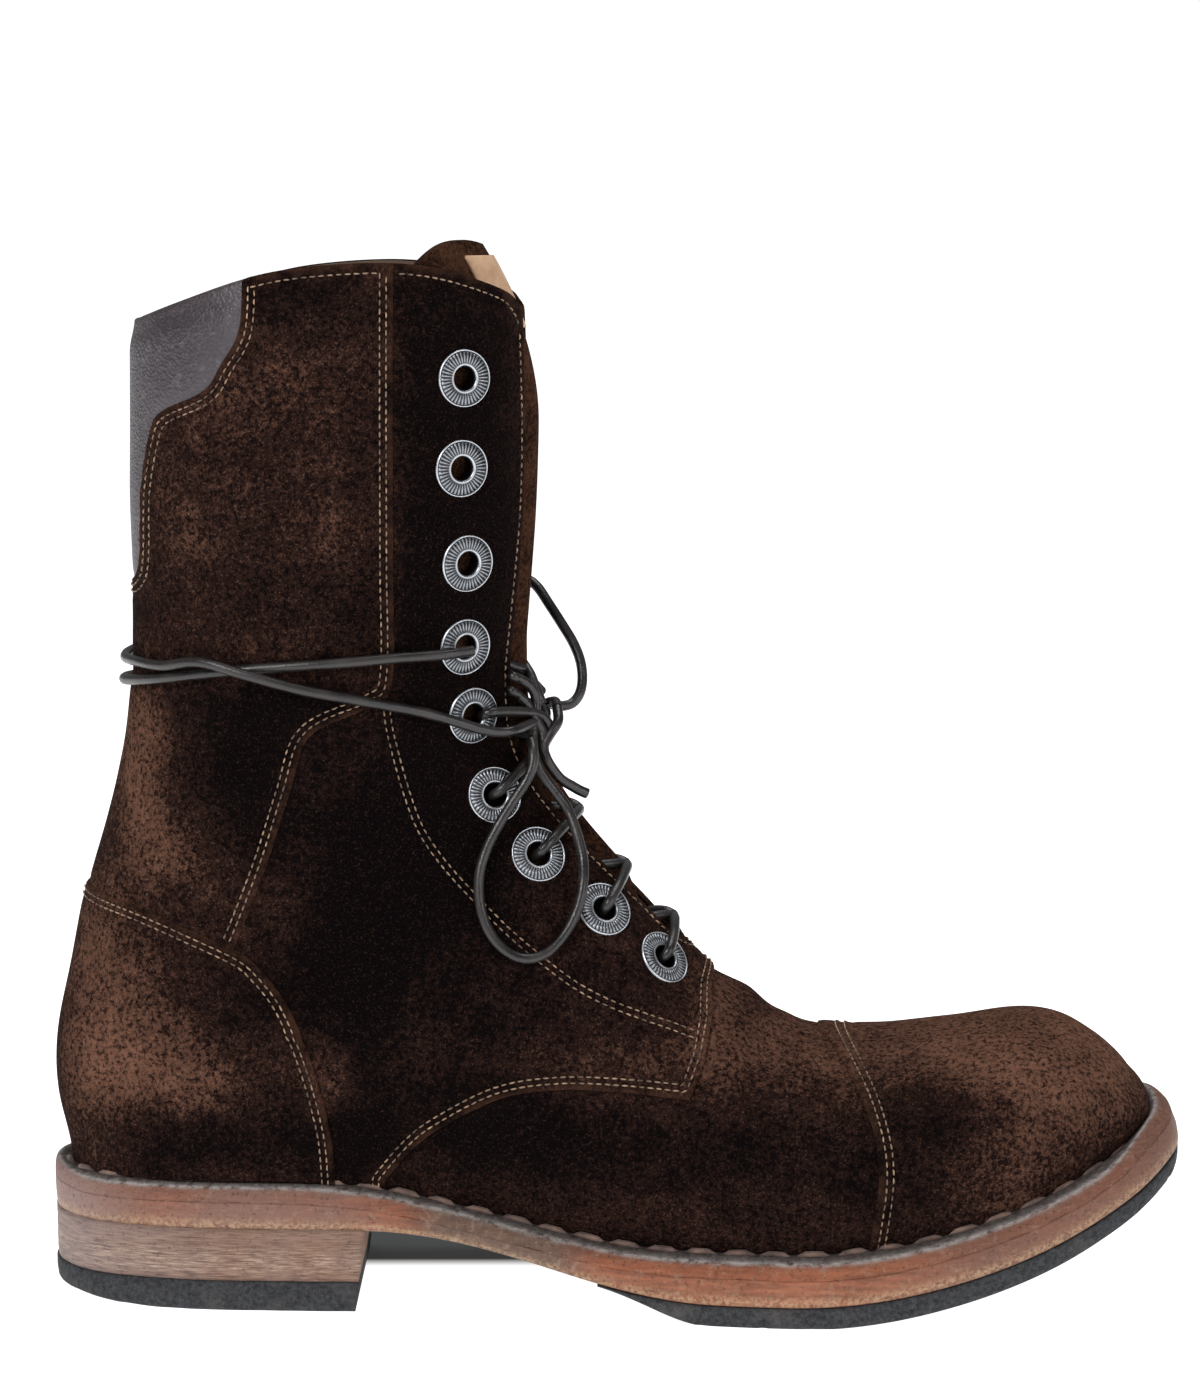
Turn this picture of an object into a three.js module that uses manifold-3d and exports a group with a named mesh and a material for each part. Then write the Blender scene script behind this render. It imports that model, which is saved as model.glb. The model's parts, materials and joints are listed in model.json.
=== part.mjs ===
// Lace-up ankle boot, right foot.
// Millimetres, +Z up, toe towards +X, inner side of the foot towards +Y.
// Lengths run forward from the back of the last. The group at the end moves the origin to the
// middle of the heel's flat, on the floor.
import * as THREE from 'three';
import { mergeVertices } from 'three/addons/utils/BufferGeometryUtils.js';
import Module from 'manifold-3d';

const wasm = await Module();
wasm.setup();

// Driving sizes of the last and the shaft
const LAST_LENGTH = 297;
const BALL_WIDTH = 93;
const INSTEP_HEIGHT = 72;
const HEEL_HEIGHT = 34.4;
const TOE_SPRING = 29;
const SHAFT_HEIGHT = 242;
const SHAFT_LENGTH = 103.6;
const SHAFT_WIDTH = 77.6;

// Leather thicknesses
const WALL = 2;
const PANEL = 1.3;
const COLLAR_PAD = 2.2;
const TONGUE_THICKNESS = 2.2;
const LABEL_THICKNESS = 0.8;
const CLEARANCE = 0.3;
const SEAM_GAP = 0.6;

// Sole
const LEATHER_THICKNESS = 12.4;
const WELT_THICKNESS = 5;
const WELT_LIP = 3.5;
const WELT_AT_HEEL = 4.5;
const WELT_AT_BALL = 7.7;
const WELT_AT_TOE = 10.3;
const TREAD_THICKNESS = 6.2;
const FLAT_CUT = 0.4;
const INSOLE_RISE = 3;
const HEEL_LENGTH = 86;
const BREAST_SLOPE = 2;
const HEEL_LIFT = 8.2;
const HEEL_BEVEL_LENGTH = 30;
const HEEL_BEVEL_RISE = 3;
const TREAD_START = 148;
const TREAD_SKIVE = 0.85;
const TRIM_MIDSOLE = 0.7;
const TRIM_STACK = 0.9;
const TRIM_LIFT = 0.4;
const TRIM_WEAR = 1;
const LUG_PITCH = 17.6;
const LUG_NOTCH_WIDTH = 3;
const LUG_NOTCH_DEPTH = 3;
const LUG_NOTCH_LENGTH = 12;
const LUG_FIRST = 10.58;

// Lacing
const THROAT_WIDTH_TOP = 25;
const THROAT_WIDTH_BOTTOM = 15;
const EYELET_RADIUS = 7.5;
const EYELET_BORE_RADIUS = 3.3;
const EYELET_BARREL_RADIUS = 4.1;
const EYELET_FLANGE = 1;
const LACE_DIAMETER = 2.8;

// Heights of the sole's lines, worked out from the sizes above
const FORE_HEIGHT = LEATHER_THICKNESS + TREAD_THICKNESS - FLAT_CUT;
const FLAT_FROM = 0.6 * LAST_LENGTH;
const FLAT_TO = 0.667 * LAST_LENGTH;
const BALL_START = 0.572 * LAST_LENGTH;
const WAIST_START = HEEL_LENGTH - 20;

const mix = (a, b, share) => a + (b - a) * share;
const within = (x, from, to) => THREE.MathUtils.clamp((x - from) / (to - from), 0, 1);
const fall = (x, from, to) => (1 + Math.cos(Math.PI * within(x, from, to))) / 2;
const spring = (x) => TOE_SPRING * Math.max(0, (x - FLAT_TO) / (LAST_LENGTH - FLAT_TO)) ** 2;
const topLine = (x) =>
  FORE_HEIGHT + (HEEL_HEIGHT - FORE_HEIGHT) * fall(x, WAIST_START, BALL_START) + spring(x);
const leatherLine = (x) =>
  FORE_HEIGHT - LEATHER_THICKNESS + (HEEL_HEIGHT - FORE_HEIGHT) * fall(x, HEEL_LENGTH, FLAT_FROM) + spring(x);
const treadLine = (x) =>
  leatherLine(x) - TREAD_THICKNESS * (1 - TREAD_SKIVE * fall(x, TREAD_START, FLAT_FROM));

// Sections of the last, from the toe to the collar. Each runs from a point under it, on the feather
// line or up the back, to a point over it, on the ridge. Lengths are shares of the named sizes:
// under, over: of LAST_LENGTH; rise, of INSTEP_HEIGHT; centre, feather and width, of BALL_WIDTH;
// widest: share of the way up where the section is widest; round: power of its curve;
// turn: how far the wall turns in at the feather line, as a share of a right angle.
const FOOT_COLUMNS = ['under', 'over', 'rise', 'centre', 'featherOut', 'featherIn', 'widthOut', 'widthIn',
  'widest', 'round'];
const FOOT_ROWS = [
  [0.997, 0.998, 0.016, 0.065, 0, 0, 0, 0, 0.45, 2],
  [0.993, 0.998, 0.084, 0.065, 0.151, 0.134, 0.161, 0.145, 0.45, 2],
  [0.981, 0.992, 0.173, 0.065, 0.237, 0.21, 0.258, 0.231, 0.42, 2],
  [0.961, 0.977, 0.285, 0.065, 0.323, 0.28, 0.349, 0.301, 0.4, 2],
  [0.934, 0.954, 0.401, 0.065, 0.387, 0.333, 0.414, 0.355, 0.38, 2.05],
  [0.899, 0.919, 0.514, 0.056, 0.441, 0.376, 0.468, 0.398, 0.35, 2.1],
  [0.859, 0.875, 0.591, 0.049, 0.478, 0.403, 0.503, 0.425, 0.33, 2.15],
  [0.808, 0.82, 0.636, 0.041, 0.505, 0.425, 0.527, 0.446, 0.32, 2.15],
  [0.747, 0.758, 0.662, 0.028, 0.516, 0.435, 0.54, 0.457, 0.3, 2.1],
  [0.684, 0.697, 0.71, 0.013, 0.505, 0.425, 0.535, 0.452, 0.28, 2],
  [0.609, 0.64, 0.811, 0.004, 0.468, 0.392, 0.503, 0.43, 0.27, 1.95],
  [0.525, 0.589, 0.965, 0, 0.403, 0.339, 0.462, 0.403, 0.27, 1.95],
];

// Sections through the instep: ahead, of LAST_LENGTH, is how far the ridge lies in front of the
// shaft's front line, and height, of SHAFT_HEIGHT, how far above the heel's feather line.
const INSTEP_COLUMNS = ['under', 'ahead', 'height', 'featherOut', 'featherIn', 'widthOut', 'widthIn',
  'widest', 'turn'];
const INSTEP_ROWS = [
  [0.428, 0.105, 0.289, 0.344, 0.296, 0.422, 0.382, 0.28, 0.55],
  [0.327, 0.067, 0.341, 0.328, 0.29, 0.389, 0.368, 0.3, 0.55],
  [0.226, 0.038, 0.384, 0.328, 0.312, 0.372, 0.361, 0.33, 0.55],
  [0.135, 0.018, 0.421, 0.312, 0.306, 0.359, 0.355, 0.36, 0.58],
  [0.064, 0.005, 0.453, 0.247, 0.247, 0.348, 0.348, 0.38, 0.68],
  [0.029, -0.002, 0.478, 0.14, 0.14, 0.344, 0.344, 0.4, 0.84],
];

// Sections of the heel, ankle and shaft: behind, of LAST_LENGTH, is how far the back lies behind the
// shaft's back line; width, of SHAFT_WIDTH, is half of the section.
const SHAFT_COLUMNS = ['behind', 'backHeight', 'ahead', 'height', 'width', 'widest'];
const SHAFT_ROWS = [
  [0.07, 0, -0.006, 0.498, 0.407, 0.42],
  [0.075, 0.073, -0.009, 0.519, 0.407, 0.44],
  [0.072, 0.143, -0.01, 0.54, 0.41, 0.46],
  [0.06, 0.217, -0.01, 0.562, 0.415, 0.48],
  [0.046, 0.296, -0.01, 0.589, 0.423, 0.49],
  [0.026, 0.383, -0.008, 0.622, 0.433, 0.5],
  [0.009, 0.474, -0.005, 0.668, 0.446, 0.5],
  [0.002, 0.569, -0.002, 0.719, 0.461, 0.5],
  [0.001, 0.668, 0, 0.775, 0.477, 0.5],
  [0.001, 0.767, 0.001, 0.837, 0.49, 0.5],
  [0.001, 0.866, 0, 0.903, 0.497, 0.5],
  [0, 0.965, -0.002, 0.978, 0.503, 0.5],
  [-0.001, 1.064, -0.005, 1.064, 0.505, 0.5],
];
const SHAFT_CENTRE = 0.262 * LAST_LENGTH;
const SHAFT_BACK = SHAFT_CENTRE - SHAFT_LENGTH / 2;
const SHAFT_FRONT = SHAFT_CENTRE + SHAFT_LENGTH / 2;
const SHAFT_ROUND = 2.1;
const FOOT_TURN = 0.55;

const named = (columns, row) => Object.fromEntries(columns.map((name, i) => [name, row[i]]));

function footSection(row) {
  const r = named(FOOT_COLUMNS, row);
  const underX = r.under * LAST_LENGTH;
  return {
    underX, underZ: topLine(underX) + CLEARANCE,
    overX: r.over * LAST_LENGTH, overZ: topLine(underX) + r.rise * INSTEP_HEIGHT,
    centre: r.centre * BALL_WIDTH,
    featherOut: r.featherOut * BALL_WIDTH, featherIn: r.featherIn * BALL_WIDTH,
    widthOut: r.widthOut * BALL_WIDTH, widthIn: r.widthIn * BALL_WIDTH,
    widest: r.widest, round: r.round, turn: FOOT_TURN,
  };
}

function instepSection(row) {
  const r = named(INSTEP_COLUMNS, row);
  const underX = r.under * LAST_LENGTH;
  return {
    underX, underZ: topLine(underX) + CLEARANCE,
    overX: SHAFT_FRONT + r.ahead * LAST_LENGTH, overZ: HEEL_HEIGHT + r.height * SHAFT_HEIGHT,
    centre: 0,
    featherOut: r.featherOut * BALL_WIDTH, featherIn: r.featherIn * BALL_WIDTH,
    widthOut: r.widthOut * BALL_WIDTH, widthIn: r.widthIn * BALL_WIDTH,
    widest: r.widest, round: SHAFT_ROUND, turn: r.turn,
  };
}

function shaftSection(row) {
  const r = named(SHAFT_COLUMNS, row);
  return {
    underX: SHAFT_BACK - r.behind * LAST_LENGTH,
    underZ: HEEL_HEIGHT + CLEARANCE + r.backHeight * SHAFT_HEIGHT,
    overX: SHAFT_FRONT + r.ahead * LAST_LENGTH, overZ: HEEL_HEIGHT + r.height * SHAFT_HEIGHT,
    centre: 0, featherOut: 0, featherIn: 0,
    widthOut: r.width * SHAFT_WIDTH, widthIn: r.width * SHAFT_WIDTH,
    widest: r.widest, round: SHAFT_ROUND, turn: 1,
  };
}

const SECTIONS = [
  ...FOOT_ROWS.map(footSection),
  ...INSTEP_ROWS.map(instepSection),
  ...SHAFT_ROWS.map(shaftSection),
];
const FEATHER_END = FOOT_ROWS.length + INSTEP_ROWS.length;
const LAST_SECTION = SECTIONS.length - 1;
const UNDER = ['underX', 'underZ'];
const FEATHER = ['featherOut', 'featherIn'];
const HALVES = ['featherOut', 'featherIn', 'widthOut', 'widthIn'];

// The neighbours that steer a curve through four sections. The outline closes at the toe's tip and
// at the back of the heel, so the row past either end is the mirror image of the row before it.
function neighbour(key, i, step) {
  const row = THREE.MathUtils.clamp(i + step, 0, LAST_SECTION);
  if (i === 0 && step === -1) return HALVES.includes(key) ? -SECTIONS[1][key] : SECTIONS[1][key];
  if (i === FEATHER_END - 1 && step === 2) {
    if (UNDER.includes(key)) return SECTIONS[i][key];
    if (FEATHER.includes(key)) return -SECTIONS[i][key];
  }
  if (i === FEATHER_END && step === -1 && UNDER.includes(key)) {
    return 2 * SECTIONS[i][key] - SECTIONS[i + 1][key];
  }
  return SECTIONS[row][key];
}

function sectionAt(t) {
  const i = Math.min(Math.floor(t), LAST_SECTION - 1);
  const f = t - i;
  const result = {};
  for (const key of Object.keys(SECTIONS[0])) {
    const [a, b, c, d] = [-1, 0, 1, 2].map((step) => neighbour(key, i, step));
    result[key] = 0.5 * (2 * b + (c - a) * f + (2 * a - 5 * b + 4 * c - d) * f * f
      + (3 * b - a - 3 * c + d) * f * f * f);
  }
  if (t >= FEATHER_END) {
    result.featherOut = 0;
    result.featherIn = 0;
  } else {
    result.underZ = topLine(result.underX) + CLEARANCE;
  }
  return result;
}

// The surface of the last: t is the section, a the turn round it, from -1 at the outer feather edge
// over 0 at the ridge to 1 at the inner feather edge.
const UPPER_SHARE = 0.55;

function surface(t, a) {
  const s = sectionAt(t);
  const feather = Math.max(0, a < 0 ? s.featherOut : s.featherIn);
  const width = Math.max(0, a < 0 ? s.widthOut : s.widthIn);
  const power = 2 / s.round;
  const q = Math.abs(a);
  let across;
  let up;
  if (q < UPPER_SHARE) {
    const angle = (q / UPPER_SHARE) * Math.PI / 2;
    across = width * Math.sin(angle) ** power;
    up = mix(s.widest, 1, Math.cos(angle) ** power);
  } else {
    const last = Math.min(s.turn, 1) * Math.PI / 2;
    const angle = ((q - UPPER_SHARE) / (1 - UPPER_SHARE)) * last;
    const lastCos = Math.max(0, Math.cos(last)) ** power;
    across = mix(feather, width, (Math.max(0, Math.cos(angle)) ** power - lastCos) / (1 - lastCos));
    up = s.widest * (1 - (Math.sin(angle) / Math.sin(last)) ** power);
  }
  const y = s.centre + Math.sign(a) * across;
  return new THREE.Vector3(mix(s.underX, s.overX, up), y, mix(s.underZ, s.overZ, up));
}

function normal(t, a) {
  const small = 1e-3;
  const tt = THREE.MathUtils.clamp(t, 0.03, LAST_SECTION - 2 * small);
  const aa = THREE.MathUtils.clamp(a, small - 1, 1 - small);
  const along = surface(tt + small, aa).sub(surface(tt - small, aa));
  const round = surface(tt, aa + small).sub(surface(tt, aa - small));
  const n = round.cross(along).normalize();
  if (t === 0) n.set(1, 0, 0);
  if (Math.abs(a) === 1) {
    if (t < FEATHER_END) n.z = 0;
    else n.y = 0;
    if (t === FEATHER_END) n.set(-1, 0, 0);
  }
  return n.normalize();
}

// A point at a distance from the last. Along the feather edge it stays level with the welt, and the
// toe's tip is a single point.
function offset(t, a, distance) {
  const p = surface(t, t === 0 ? 1 : a).addScaledVector(normal(t, a), distance);
  if ((Math.abs(a) === 1 || t === 0) && t <= FEATHER_END) p.z = topLine(p.x) + CLEARANCE;
  return p;
}

// Solids
function closedGeometry(points, triangles) {
  const position = new Float32Array(points.flatMap((p) => [p.x, p.y, p.z]));
  let geometry = new THREE.BufferGeometry();
  geometry.setAttribute('position', new THREE.BufferAttribute(position, 3));
  geometry.setIndex(triangles);
  geometry = mergeVertices(geometry, 1e-4);
  const index = geometry.getIndex().array;
  const kept = [];
  for (let k = 0; k < index.length; k += 3) {
    const [a, b, c] = [index[k], index[k + 1], index[k + 2]];
    if (a !== b && b !== c && c !== a) kept.push(a, b, c);
  }
  geometry.setIndex(signedVolume(geometry, kept) < 0 ? kept.reverse() : kept);
  return geometry;
}

function signedVolume(geometry, index) {
  const position = geometry.getAttribute('position');
  const [a, b, c] = [new THREE.Vector3(), new THREE.Vector3(), new THREE.Vector3()];
  let volume = 0;
  for (let k = 0; k < index.length; k += 3) {
    a.fromBufferAttribute(position, index[k]);
    b.fromBufferAttribute(position, index[k + 1]);
    c.fromBufferAttribute(position, index[k + 2]);
    volume += a.dot(b.cross(c)) / 6;
  }
  return volume;
}

function toSolid(source) {
  let geometry = source.clone();
  geometry.deleteAttribute('normal');
  geometry.deleteAttribute('uv');
  geometry = mergeVertices(geometry, 1e-4);
  return new wasm.Manifold(new wasm.Mesh({
    numProp: 3,
    vertProperties: new Float32Array(geometry.getAttribute('position').array),
    triVerts: new Uint32Array(geometry.getIndex().array),
  }));
}

function toGeometry(solid) {
  const mesh = solid.getMesh();
  const geometry = new THREE.BufferGeometry();
  geometry.setAttribute('position', new THREE.BufferAttribute(new Float32Array(mesh.vertProperties), 3));
  geometry.setIndex([...mesh.triVerts]);
  geometry.computeVertexNormals();
  return geometry;
}

// A sheet between two offsets of a surface, closed along its edges. rimEnd is the section from which
// its two long edges meet each other up the back.
function sheet(ts, as, outer, inner, rimEnd = Infinity) {
  const points = [];
  const triangles = [];
  const columns = as.length;
  const layer = ts.length * columns;
  for (const place of [outer, inner]) {
    for (const t of ts) as.forEach((a) => points.push(place(t, a)));
  }
  const quad = (a, b, c, d) => triangles.push(a, b, c, a, c, d);
  for (let i = 0; i + 1 < ts.length; i++) {
    for (let j = 0; j + 1 < columns; j++) {
      const a = i * columns + j;
      quad(a, a + 1, a + columns + 1, a + columns);
      quad(layer + a, layer + a + columns, layer + a + columns + 1, layer + a + 1);
    }
    if (ts[i + 1] > rimEnd) continue;
    const first = i * columns;
    const last = first + columns - 1;
    quad(first, first + columns, layer + first + columns, layer + first);
    quad(last + columns, last, layer + last, layer + last + columns);
  }
  const end = (ts.length - 1) * columns;
  for (let j = 0; j + 1 < columns; j++) {
    quad(j + 1, j, layer + j, layer + j + 1);
    quad(end + j, end + j + 1, layer + end + j + 1, layer + end + j);
  }
  return toSolid(closedGeometry(points, triangles));
}

const steps = (from, to, count) => Array.from({ length: count + 1 }, (_, i) => mix(from, to, i / count));
const FOOT_STATIONS = [...steps(0, 1, 2), ...steps(2, 9, 7), ...steps(10, 13, 6), ...steps(14, 17, 3),
  ...steps(17.5, FEATHER_END, 1)];
const STATIONS = [...FOOT_STATIONS, ...steps(FEATHER_END + 1, LAST_SECTION, 8)];
const RIDGE_TURNS = [0, 0.06, 0.12, 0.26, 0.4];
const SIDE_TURNS = [...RIDGE_TURNS, ...steps(UPPER_SHARE, 1, 3)];
const TURNS = [...SIDE_TURNS.slice(1).reverse().map((a) => -a), ...SIDE_TURNS];

const shell = (outer, inner) => sheet(
  STATIONS, TURNS, (t, a) => offset(t, a, outer), (t, a) => offset(t, a, inner), FEATHER_END,
);

// Outlines seen from the side, as shares of LAST_LENGTH forward and of SHAFT_HEIGHT up from the
// heel's feather line. An outline is a smooth seam closed by straight lines through its corners.
const REACH = 200;
const sidePoint = ([x, z]) => new THREE.Vector2(x * LAST_LENGTH, HEEL_HEIGHT + z * SHAFT_HEIGHT);

function sidePrism(outline) {
  const geometry = new THREE.ExtrudeGeometry(new THREE.Shape(outline), {
    depth: 2 * REACH, bevelEnabled: false,
  });
  geometry.rotateX(Math.PI / 2).translate(0, REACH, 0);
  return toSolid(geometry);
}

function region({ seam, corners }, growth = 0) {
  const curve = new THREE.SplineCurve(seam.map(sidePoint)).getPoints(2 * (seam.length - 1));
  const outline = [...curve, ...corners.map(sidePoint)];
  const turn = THREE.ShapeUtils.isClockWise(outline) ? -1 : 1;
  const grown = outline.map((p, i) => {
    const before = outline.at(i - 1);
    const after = outline[(i + 1) % outline.length];
    const along = p.clone().sub(before).normalize().add(after.clone().sub(p).normalize()).normalize();
    return p.clone().add(new THREE.Vector2(along.y, -along.x).multiplyScalar(turn * growth));
  });
  return sidePrism(grown);
}

const COLLAR_LINE = {
  seam: [[0.09, 0.936], [0.136, 0.957], [0.194, 0.981], [0.243, 0.993], [0.311, 0.998], [0.363, 0.991],
    [0.413, 0.969], [0.429, 0.948], [0.435, 0.924]],
  corners: [[0.45, 0.9], [1.2, 0.9], [1.2, -0.2], [-0.1, -0.2], [-0.1, 0.93]],
};
const COLLAR_PATCH = {
  seam: [[0.194, 0.984], [0.191, 0.927], [0.174, 0.889], [0.159, 0.862], [0.121, 0.839], [0.11, 0.818],
    [0.102, 0.764], [0.096, 0.674], [0.088, 0.652]],
  corners: [[-0.1, 0.652], [-0.1, 1.1], [0.194, 1.1]],
};
const SHAFT_SEAM = {
  seam: [[0.321, 0.854], [0.32, 0.69], [0.318, 0.552], [0.3, 0.525], [0.247, 0.493], [0.229, 0.433],
    [0.206, 0.346], [0.179, 0.262], [0.162, 0.22]],
  corners: [[-0.1, 0.22], [-0.1, 1.1], [0.322, 1.1]],
};
const COUNTER_SEAM = {
  seam: [[0.041, 0.312], [0.102, 0.297], [0.178, 0.258], [0.205, 0.23], [0.227, 0.192], [0.248, 0.128],
    [0.262, 0.06], [0.265, 0.015]],
  corners: [[0.266, -0.1], [-0.1, -0.1], [-0.1, 0.312]],
};
const QUARTER_SEAM = {
  seam: [[0.31, 0.003], [0.333, 0.037], [0.359, 0.063], [0.412, 0.097], [0.465, 0.108], [0.52, 0.106],
    [0.58, 0.097]],
  corners: [[0.594, 0.138], [0.6, 0.174], [0.6, 0.204], [0.62, 0.26], [0.62, 1.1], [0.2, 1.1], [0.2, -0.1],
    [0.31, -0.1]],
};
const CAP_SEAM = {
  seam: [[0.7, 0.17], [0.709, 0.146], [0.725, 0.131], [0.747, 0.086], [0.757, 0.03], [0.751, -0.042],
    [0.745, -0.09]],
  corners: [[1.2, -0.09], [1.2, 0.3], [0.7, 0.3]],
};

// The throat, a slot through the front wall, narrower and round at its lower end
const THROAT_BOTTOM = HEEL_HEIGHT + 0.245 * SHAFT_HEIGHT;
const THROAT_TOP = HEEL_HEIGHT + 1.15 * SHAFT_HEIGHT;

function throat() {
  const low = THROAT_WIDTH_BOTTOM / 2;
  const shape = new THREE.Shape();
  shape.moveTo(THROAT_WIDTH_TOP / 2, THROAT_TOP);
  shape.lineTo(-THROAT_WIDTH_TOP / 2, THROAT_TOP);
  shape.lineTo(-low, THROAT_BOTTOM + low);
  shape.absarc(0, THROAT_BOTTOM + low, low, Math.PI, 2 * Math.PI, false);
  const geometry = new THREE.ExtrudeGeometry(shape, {
    depth: LAST_LENGTH, bevelEnabled: false, curveSegments: 6,
  });
  geometry.applyMatrix4(new THREE.Matrix4().makeBasis(
    new THREE.Vector3(0, 1, 0), new THREE.Vector3(0, 0, 1), new THREE.Vector3(1, 0, 0),
  ));
  return toSolid(geometry.translate(SHAFT_CENTRE + 0.2 * SHAFT_LENGTH, 0, 0));
}

// Eyelets, from the collar down: the section that each pair sits on and its turn from the ridge
const EYELET_ROWS = [
  [27.7, 0.297], [26.33, 0.304], [24.65, 0.283], [22.88, 0.267], [20.28, 0.223], [16.2, 0.196], [14.18, 0.2],
  [12.62, 0.186], [11.55, 0.163],
];
const SIDES = { outer: -1, inner: 1 };
const EYELET_SEAT = PANEL + 0.15;
const EYELET_SIDES = 8;

// Turns a piece made along +Y so that it stands on the surface
function standOn(geometry, t, a, height) {
  const turn = new THREE.Quaternion().setFromUnitVectors(new THREE.Vector3(0, 1, 0), normal(t, a));
  const place = offset(t, a, height);
  return geometry.applyQuaternion(turn).translate(place.x, place.y, place.z);
}

function eyelet(t, a) {
  const depth = EYELET_SEAT + WALL;
  const profile = [
    [EYELET_BORE_RADIUS, -depth], [EYELET_BARREL_RADIUS, -depth], [EYELET_BARREL_RADIUS, 0],
    [EYELET_RADIUS, 0], [EYELET_BORE_RADIUS + 1, EYELET_FLANGE],
    [EYELET_BORE_RADIUS, -depth],
  ];
  const ring = new THREE.LatheGeometry(profile.map(([r, h]) => new THREE.Vector2(r, h)), EYELET_SIDES);
  return standOn(ring, t, a, EYELET_SEAT);
}

function eyeletHoles() {
  const radius = EYELET_BARREL_RADIUS + CLEARANCE;
  const holes = [];
  for (const [t, turn] of EYELET_ROWS) {
    for (const side of Object.values(SIDES)) {
      const hole = new THREE.CylinderGeometry(radius, radius, 2 * EYELET_RADIUS, EYELET_SIDES);
      holes.push(toSolid(standOn(hole, t, side * turn, 0)));
    }
  }
  return wasm.Manifold.union(holes);
}

// Upper and its overlays
const collarTrim = region(COLLAR_LINE);
const throatSlot = throat();
const holes = eyeletHoles();

function upper() {
  const quarters = shell(PANEL, -WALL / 2).intersect(region(QUARTER_SEAM))
    .subtract(region(SHAFT_SEAM, SEAM_GAP))
    .subtract(region(COUNTER_SEAM, SEAM_GAP));
  return shell(0, -WALL).add(quarters).intersect(collarTrim).subtract(throatSlot).subtract(holes);
}

const overlay = (thickness) => shell(CLEARANCE + thickness, CLEARANCE).intersect(collarTrim);
const toeCap = () => overlay(PANEL - CLEARANCE).intersect(region(CAP_SEAM));
const heelCounter = () => overlay(PANEL).intersect(region(COUNTER_SEAM));
const shaftPanel = () => overlay(PANEL - CLEARANCE).intersect(region(SHAFT_SEAM))
  .subtract(region(COUNTER_SEAM, SEAM_GAP))
  .subtract(region(COLLAR_PATCH, SEAM_GAP));
const collarPad = () => overlay(COLLAR_PAD - CLEARANCE).intersect(region(COLLAR_PATCH));

// Tongue: inside the wall at its sides, bulging out through the throat, and leaning back at its top
const TONGUE_TURN = 0.34;
const TONGUE_START = 10.5;
const TONGUE_BULGE_LOW = 0.06;
const TONGUE_BULGE_HIGH = 0.12;
const TONGUE_SIDE_SLACK = 1;
const TONGUE_PROUD = 1;
const TONGUE_LEAN_START = HEEL_HEIGHT + 0.82 * SHAFT_HEIGHT;
const TONGUE_LEAN = 14;
const TONGUE_TOP = {
  seam: [[0.29, 0.93], [0.32, 0.965], [0.35, 1.005], [0.372, 1.02], [0.395, 1.017], [0.415, 1.005]],
  corners: [[0.48, 1], [0.8, 1], [0.8, 0], [0.25, 0], [0.25, 0.9]],
};

function tonguePoint(t, a, depth) {
  const under = -WALL - 2 * CLEARANCE;
  const low = fall(t, TONGUE_START + 1.1, TONGUE_START + 2.3);
  const bulgeTurn = mix(TONGUE_BULGE_HIGH, TONGUE_BULGE_LOW, fall(t, 18, 26));
  const bulge = fall(Math.abs(a), 0, bulgeTurn) * (1 - low);
  const slack = Math.abs(a) === TONGUE_TURN ? TONGUE_SIDE_SLACK : 0;
  const p = offset(t, a, mix(under, TONGUE_PROUD, bulge) - depth - slack);
  const above = Math.max(0, p.z - TONGUE_LEAN_START) / (0.2 * SHAFT_HEIGHT);
  p.x -= TONGUE_LEAN * above ** 2;
  return p;
}

const TONGUE_TS = STATIONS.filter((t) => t >= TONGUE_START);
const TONGUE_SIDE = [...RIDGE_TURNS.filter((a) => a < TONGUE_TURN), TONGUE_TURN];
const TONGUE_AS = [...TONGUE_SIDE.slice(1).reverse().map((a) => -a), ...TONGUE_SIDE];
const tongueSheet = (outer, inner) => sheet(
  TONGUE_TS, TONGUE_AS, (t, a) => tonguePoint(t, a, outer), (t, a) => tonguePoint(t, a, inner),
);
const tongue = () => tongueSheet(0, TONGUE_THICKNESS).intersect(region(TONGUE_TOP));

const LABEL_WIDTH = 22;
const LABEL_HEIGHT = 18;

function tongueLabel() {
  const top = HEEL_HEIGHT + SHAFT_HEIGHT;
  const block = new THREE.BoxGeometry(SHAFT_LENGTH, LABEL_WIDTH, LABEL_HEIGHT)
    .translate(SHAFT_FRONT, 0, top - LABEL_HEIGHT / 2);
  return tongueSheet(-CLEARANCE - LABEL_THICKNESS, -CLEARANCE).intersect(toSolid(block));
}

// Sole: layers that follow the feather line in plan, each level a margin out from it
function weltMargin(x) {
  const share = x / LAST_LENGTH;
  const toBall = THREE.MathUtils.smoothstep(share, 0.05, 0.55);
  const toToe = THREE.MathUtils.smoothstep(share, 0.78, 1);
  return mix(WELT_AT_HEEL, WELT_AT_BALL, toBall) + (WELT_AT_TOE - WELT_AT_BALL) * toToe;
}

function featherPoint(t, side) {
  const s = sectionAt(t);
  const half = side < 0 ? s.featherOut : s.featherIn;
  return new THREE.Vector2(s.underX, s.centre + side * half);
}

function edgePoint(t, side, share, extra) {
  const small = 1e-3;
  const p = featherPoint(t, side);
  const out = new THREE.Vector2();
  if (t === 0) out.set(1, 0);
  else if (t === FEATHER_END) out.set(-1, 0);
  else {
    const ahead = featherPoint(Math.min(t + small, FEATHER_END - small), side);
    const along = ahead.sub(featherPoint(t - small, side));
    out.set(side * along.y, -side * along.x).normalize();
  }
  return p.addScaledVector(out, share * weltMargin(p.x) + extra);
}

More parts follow.
